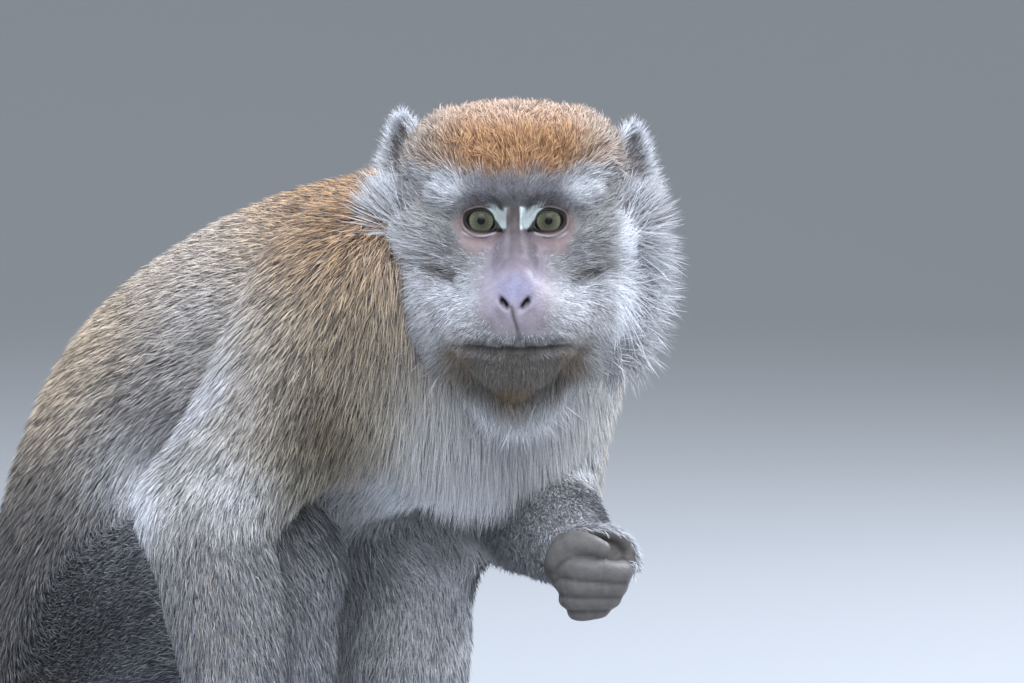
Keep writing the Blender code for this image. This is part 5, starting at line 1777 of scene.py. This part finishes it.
def make_stage(wanted):
    """A pale floor that curves up far behind, a big soft light overhead, a fill and a cool rim."""
    scene = bpy.context.scene
    rows, columns = 48, 24
    s = np.linspace(0.0, 1.0, rows)
    along = np.where(s < 0.5, -6.0 + 20.0 * s, 4.0 + 3.0 * np.sin((s - 0.5) * math.pi))
    height = np.where(s < 0.5, 0.0, 3.0 - 3.0 * np.cos((s - 0.5) * math.pi))
    across = np.linspace(-8.0, 8.0, columns)
    c = wanted.azimuth
    back = np.array((-math.sin(c), math.cos(c), 0.0))
    right = np.array((math.cos(c), math.sin(c), 0.0))
    grid = along[:, None, None] * back + across[None, :, None] * right
    grid[..., 2] = height[:, None]
    index = np.arange(rows * columns).reshape(rows, columns)
    quads = np.stack([index[:-1, :-1], index[:-1, 1:], index[1:, 1:], index[1:, :-1]], -1).reshape(-1, 4)
    floor = new_mesh("floor", grid.reshape(-1, 3), [quads], shift=False)
    made, tree, out = new_material("pale_floor")
    finish_shader(tree, out, {"Base Color": (*wanted.floor, 1.0), "Roughness": 0.9})
    floor.data.materials.append(made)
    aim = Vector(SHIFT + np.array(LIGHT_TARGET))
    for name, (*placing, energy, strength, colour) in LIGHTS.items():
        area_light(name, *placing, energy * getattr(wanted, strength), colour, aim)
    world = bpy.data.worlds.new("room")
    world.use_nodes = True
    world.node_tree.nodes["Background"].inputs["Color"].default_value = (*linear("DCE1E8"), 1.0)
    world.node_tree.nodes["Background"].inputs["Strength"].default_value = wanted.room
    scene.world = world
    scene.view_settings.view_transform = "Standard"
    data = bpy.data.cameras.new("camera")
    data.lens, data.sensor_width, data.clip_end = wanted.lens, VIEW_SENSOR, 60.0
    camera = bpy.data.objects.new("camera", data)
    way = way_to(wanted.azimuth, wanted.elevation)
    camera.location = Vector(SHIFT + np.array(VIEW_TARGET)) + way * wanted.distance
    camera.rotation_euler = way.to_track_quat("Z", "Y").to_euler()
    scene.collection.objects.link(camera)
    scene.camera = camera


def finish_pads():
    """Leathery seat pads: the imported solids, with a grained, slightly worn hard skin."""
    made, tree, out = new_material("seat_pad_skin")
    grain = texture(tree, "ShaderNodeTexVoronoi", Scale=700.0)
    ramp = node(tree, "ShaderNodeValToRGB", None, {0: grain.outputs[0]})
    ramp.color_ramp.elements[0].color = (*linear("8A7670"), 1.0)
    ramp.color_ramp.elements[1].color = (*linear("5F514D"), 1.0)
    bumps = node(tree, "ShaderNodeBump", {"Strength": 0.4, "Distance": 0.0004}, {"Height": grain.outputs[0]})
    finish_shader(tree, out, {"Roughness": 0.6}, {"Base Color": ramp.outputs[0], "Normal": bumps.outputs[0]})
    for side in ("right", "left"):
        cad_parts["seat_pad_" + side].material_slots[0].material = made


# ---------------------------------------------------------------- the add-on
def colour_of(name, description, tint):
    """A colour that a user can set."""
    return FloatVectorProperty(
        name=name, description=description, default=tuple(float(c) for c in tint), size=3, min=0.0, max=1.0,
        subtype="COLOR",
    )


def share_of(name, description, default, low, high):
    """A share that a user can set."""
    return FloatProperty(
        name=name, description=description, default=default, min=low, max=high, subtype="FACTOR",
    )


class MacaqueSkin(bpy.types.PropertyGroup):
    """The bare skin's colours and gloss."""

    face: colour_of("Face", "Bare skin of the face", TINT["face"])
    mauve: colour_of("Muzzle", "Bare skin of the muzzle's middle", TINT["mauve"])
    nose_tip: colour_of("Nose", "Bluish tip of the nose", TINT["nose_tip"])
    lid: colour_of("Lids", "Pale patch of the upper eyelids", TINT["lid"])
    hand: colour_of("Hands", "Skin of the hands and feet", TINT["hand"])
    roughness: share_of("Roughness", "How matt the skin is", 0.45, 0.2, 0.9)


class MacaqueEyes(bpy.types.PropertyGroup):
    """The eyes' colours and gloss."""

    iris_inner: colour_of("Iris, inner", "Iris beside the pupil", EYE_TINTS["iris_inner"])
    iris_outer: colour_of("Iris, outer", "Iris near its dark edge", EYE_TINTS["iris_outer"])
    wetness: share_of("Wetness", "Strength of the tear film's gloss", 0.28, 0.0, 1.0)


class MacaqueCoat(bpy.types.PropertyGroup):
    """The coat's colours, length and thickness."""

    rust_light: colour_of("Crown tips", "Tips of the crown's hairs", HAIR["rust_light"])
    rust: colour_of("Crown bases", "Bases of the crown's hairs", HAIR["rust"])
    gold: colour_of("Back tips", "Tips of the back's hairs", HAIR["gold"])
    brown_dark: colour_of("Back bases", "Bases of the back's hairs", HAIR["brown_dark"])
    slate: colour_of("Limb tips", "Tips of the limbs' hairs", HAIR["slate"])
    slate_dark: colour_of("Limb bases", "Bases of the limbs' hairs", HAIR["slate_dark"])
    silver: colour_of("Pale tips", "Tips of the pale hairs", HAIR["silver"])
    white: colour_of("White", "The whitest hairs, of whiskers, bib and belly", HAIR["white"])
    soot: colour_of("Dark", "The darkest hairs, of rump and mouth", HAIR["soot"])
    reach: share_of("Length", "Length of the hairs, as a share of the animal's own", 1.0, 0.3, 1.3)
    density: share_of("Thickness", "How many hairs, as a share of the animal's own", 1.0, 0.1, 1.0)


class MacaqueStage(bpy.types.PropertyGroup):
    """The floor, lights and camera."""

    floor: colour_of("Floor", "Plain floor", linear("9EA1A3"))
    key: share_of("Sky", "Strength of the light overhead and the rims", 0.94, 0.0, 3.0)
    fill: share_of("Fill", "Strength of the light in front", 1.0, 0.0, 3.0)
    room: share_of("Room", "Strength of the light from all round", 0.80, 0.0, 2.0)
    azimuth: FloatProperty(
        name="Azimuth", description="Camera's direction round the animal",
        default=math.radians(VIEW_AZIMUTH), subtype="ANGLE", unit="ROTATION",
    )
    elevation: FloatProperty(
        name="Elevation", description="Camera's height, as an angle",
        default=math.radians(VIEW_ELEVATION), subtype="ANGLE", unit="ROTATION",
    )
    distance: FloatProperty(
        name="Distance", description="Camera's distance from its aim",
        default=VIEW_DISTANCE, min=0.5, subtype="DISTANCE", unit="LENGTH",
    )
    lens: FloatProperty(
        name="Lens", description="Camera's focal length in millimetres", default=VIEW_LENS, min=20.0,
        unit="CAMERA",
    )


def take_colours(scene):
    """Puts the user's colours in place of the tables' own."""
    for group, table in (("macaque_skin", TINT), ("macaque_eyes", EYE_TINTS), ("macaque_coat", HAIR)):
        wanted = getattr(scene, group)
        for name in wanted.bl_rna.properties.keys():
            if name in table:
                table[name] = np.array(getattr(wanted, name))


def need_skin():
    """Stops a coat that has no skin to grow on."""
    if not SURFACES:
        raise RuntimeError("the coat grows on the skin: build the skin first")


class MACAQUE_OT_skin(bpy.types.Operator):
    """Build the one skin that stands for the flesh"""

    bl_idname = "macaque.skin"
    bl_label = "Build skin"

    def execute(self, context):
        take_colours(context.scene)
        make_skin(context.scene.macaque_skin.roughness)
        return {"FINISHED"}


class MACAQUE_OT_eyes(bpy.types.Operator):
    """Build both eyes"""

    bl_idname = "macaque.eyes"
    bl_label = "Build eyes"

    def execute(self, context):
        take_colours(context.scene)
        for side, sign in (("right", -1.0), ("left", 1.0)):
            make_eye(side, sign, context.scene.macaque_eyes.wetness)
        return {"FINISHED"}


class MACAQUE_OT_seat(bpy.types.Operator):
    """Give the seat pads their hard skin"""

    bl_idname = "macaque.seat"
    bl_label = "Finish seat pads"

    def execute(self, context):
        finish_pads()
        return {"FINISHED"}


class MACAQUE_OT_body_coat(bpy.types.Operator):
    """Grow the coat of the trunk, limbs and tail"""

    bl_idname = "macaque.body_coat"
    bl_label = "Grow body coat"

    def execute(self, context):
        need_skin()
        take_colours(context.scene)
        wanted = context.scene.macaque_coat
        make_body_coat(wanted.density, wanted.reach)
        make_hand_coat(wanted.density, wanted.reach)
        return {"FINISHED"}


class MACAQUE_OT_head_coat(bpy.types.Operator):
    """Grow the coat of the head and ears"""

    bl_idname = "macaque.head_coat"
    bl_label = "Grow head coat"

    def execute(self, context):
        need_skin()
        take_colours(context.scene)
        wanted = context.scene.macaque_coat
        make_head_coat(wanted.density, wanted.reach)
        make_ear_coat(wanted.density, wanted.reach)
        return {"FINISHED"}


class MACAQUE_OT_stage(bpy.types.Operator):
    """Set the floor, lights and camera"""

    bl_idname = "macaque.stage"
    bl_label = "Set stage"

    def execute(self, context):
        make_stage(context.scene.macaque_stage)
        return {"FINISHED"}


class MACAQUE_PT_panel(bpy.types.Panel):
    """The macaque's settings and builders"""

    bl_idname = "MACAQUE_PT_panel"
    bl_label = "Macaque"
    bl_space_type = "VIEW_3D"
    bl_region_type = "UI"
    bl_category = "Macaque"

    def draw(self, context):
        for name, group, operators in PANEL_ROWS:
            box = self.layout.box()
            box.label(text=name)
            settings = getattr(context.scene, group) if group else None
            for field in settings.bl_rna.properties if settings else ():
                if not field.is_readonly and field.identifier != "name":
                    box.prop(settings, field.identifier)
            for operator in operators:
                box.operator(operator.bl_idname)


PANEL_ROWS = (
    ("Skin", "macaque_skin", (MACAQUE_OT_skin,)),
    ("Eyes", "macaque_eyes", (MACAQUE_OT_eyes,)),
    ("Seat", None, (MACAQUE_OT_seat,)),
    ("Coat", "macaque_coat", (MACAQUE_OT_body_coat, MACAQUE_OT_head_coat)),
    ("Stage", "macaque_stage", (MACAQUE_OT_stage,)),
)
GROUPS = {
    "macaque_skin": MacaqueSkin,
    "macaque_eyes": MacaqueEyes,
    "macaque_coat": MacaqueCoat,
    "macaque_stage": MacaqueStage,
}
OPERATORS = [operator for _, _, operators in PANEL_ROWS for operator in operators]


def register():
    """Makes the settings, operators and panel known to Blender."""
    for made in (*GROUPS.values(), *OPERATORS, MACAQUE_PT_panel):
        bpy.utils.register_class(made)
    for name, group in GROUPS.items():
        setattr(bpy.types.Scene, name, PointerProperty(type=group))


def unregister():
    """Takes them away again."""
    for name in GROUPS:
        delattr(bpy.types.Scene, name)
    for made in (MACAQUE_PT_panel, *reversed(OPERATORS), *GROUPS.values()):
        bpy.utils.unregister_class(made)


def main():
    """Registers the add-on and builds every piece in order."""
    register()
    for build in (
        bpy.ops.macaque.skin, bpy.ops.macaque.eyes, bpy.ops.macaque.seat, bpy.ops.macaque.body_coat,
        bpy.ops.macaque.head_coat, bpy.ops.macaque.stage,
    ):
        if build() != {"FINISHED"}:
            raise RuntimeError("a builder did not finish")


if __name__ == "__main__":
    main()
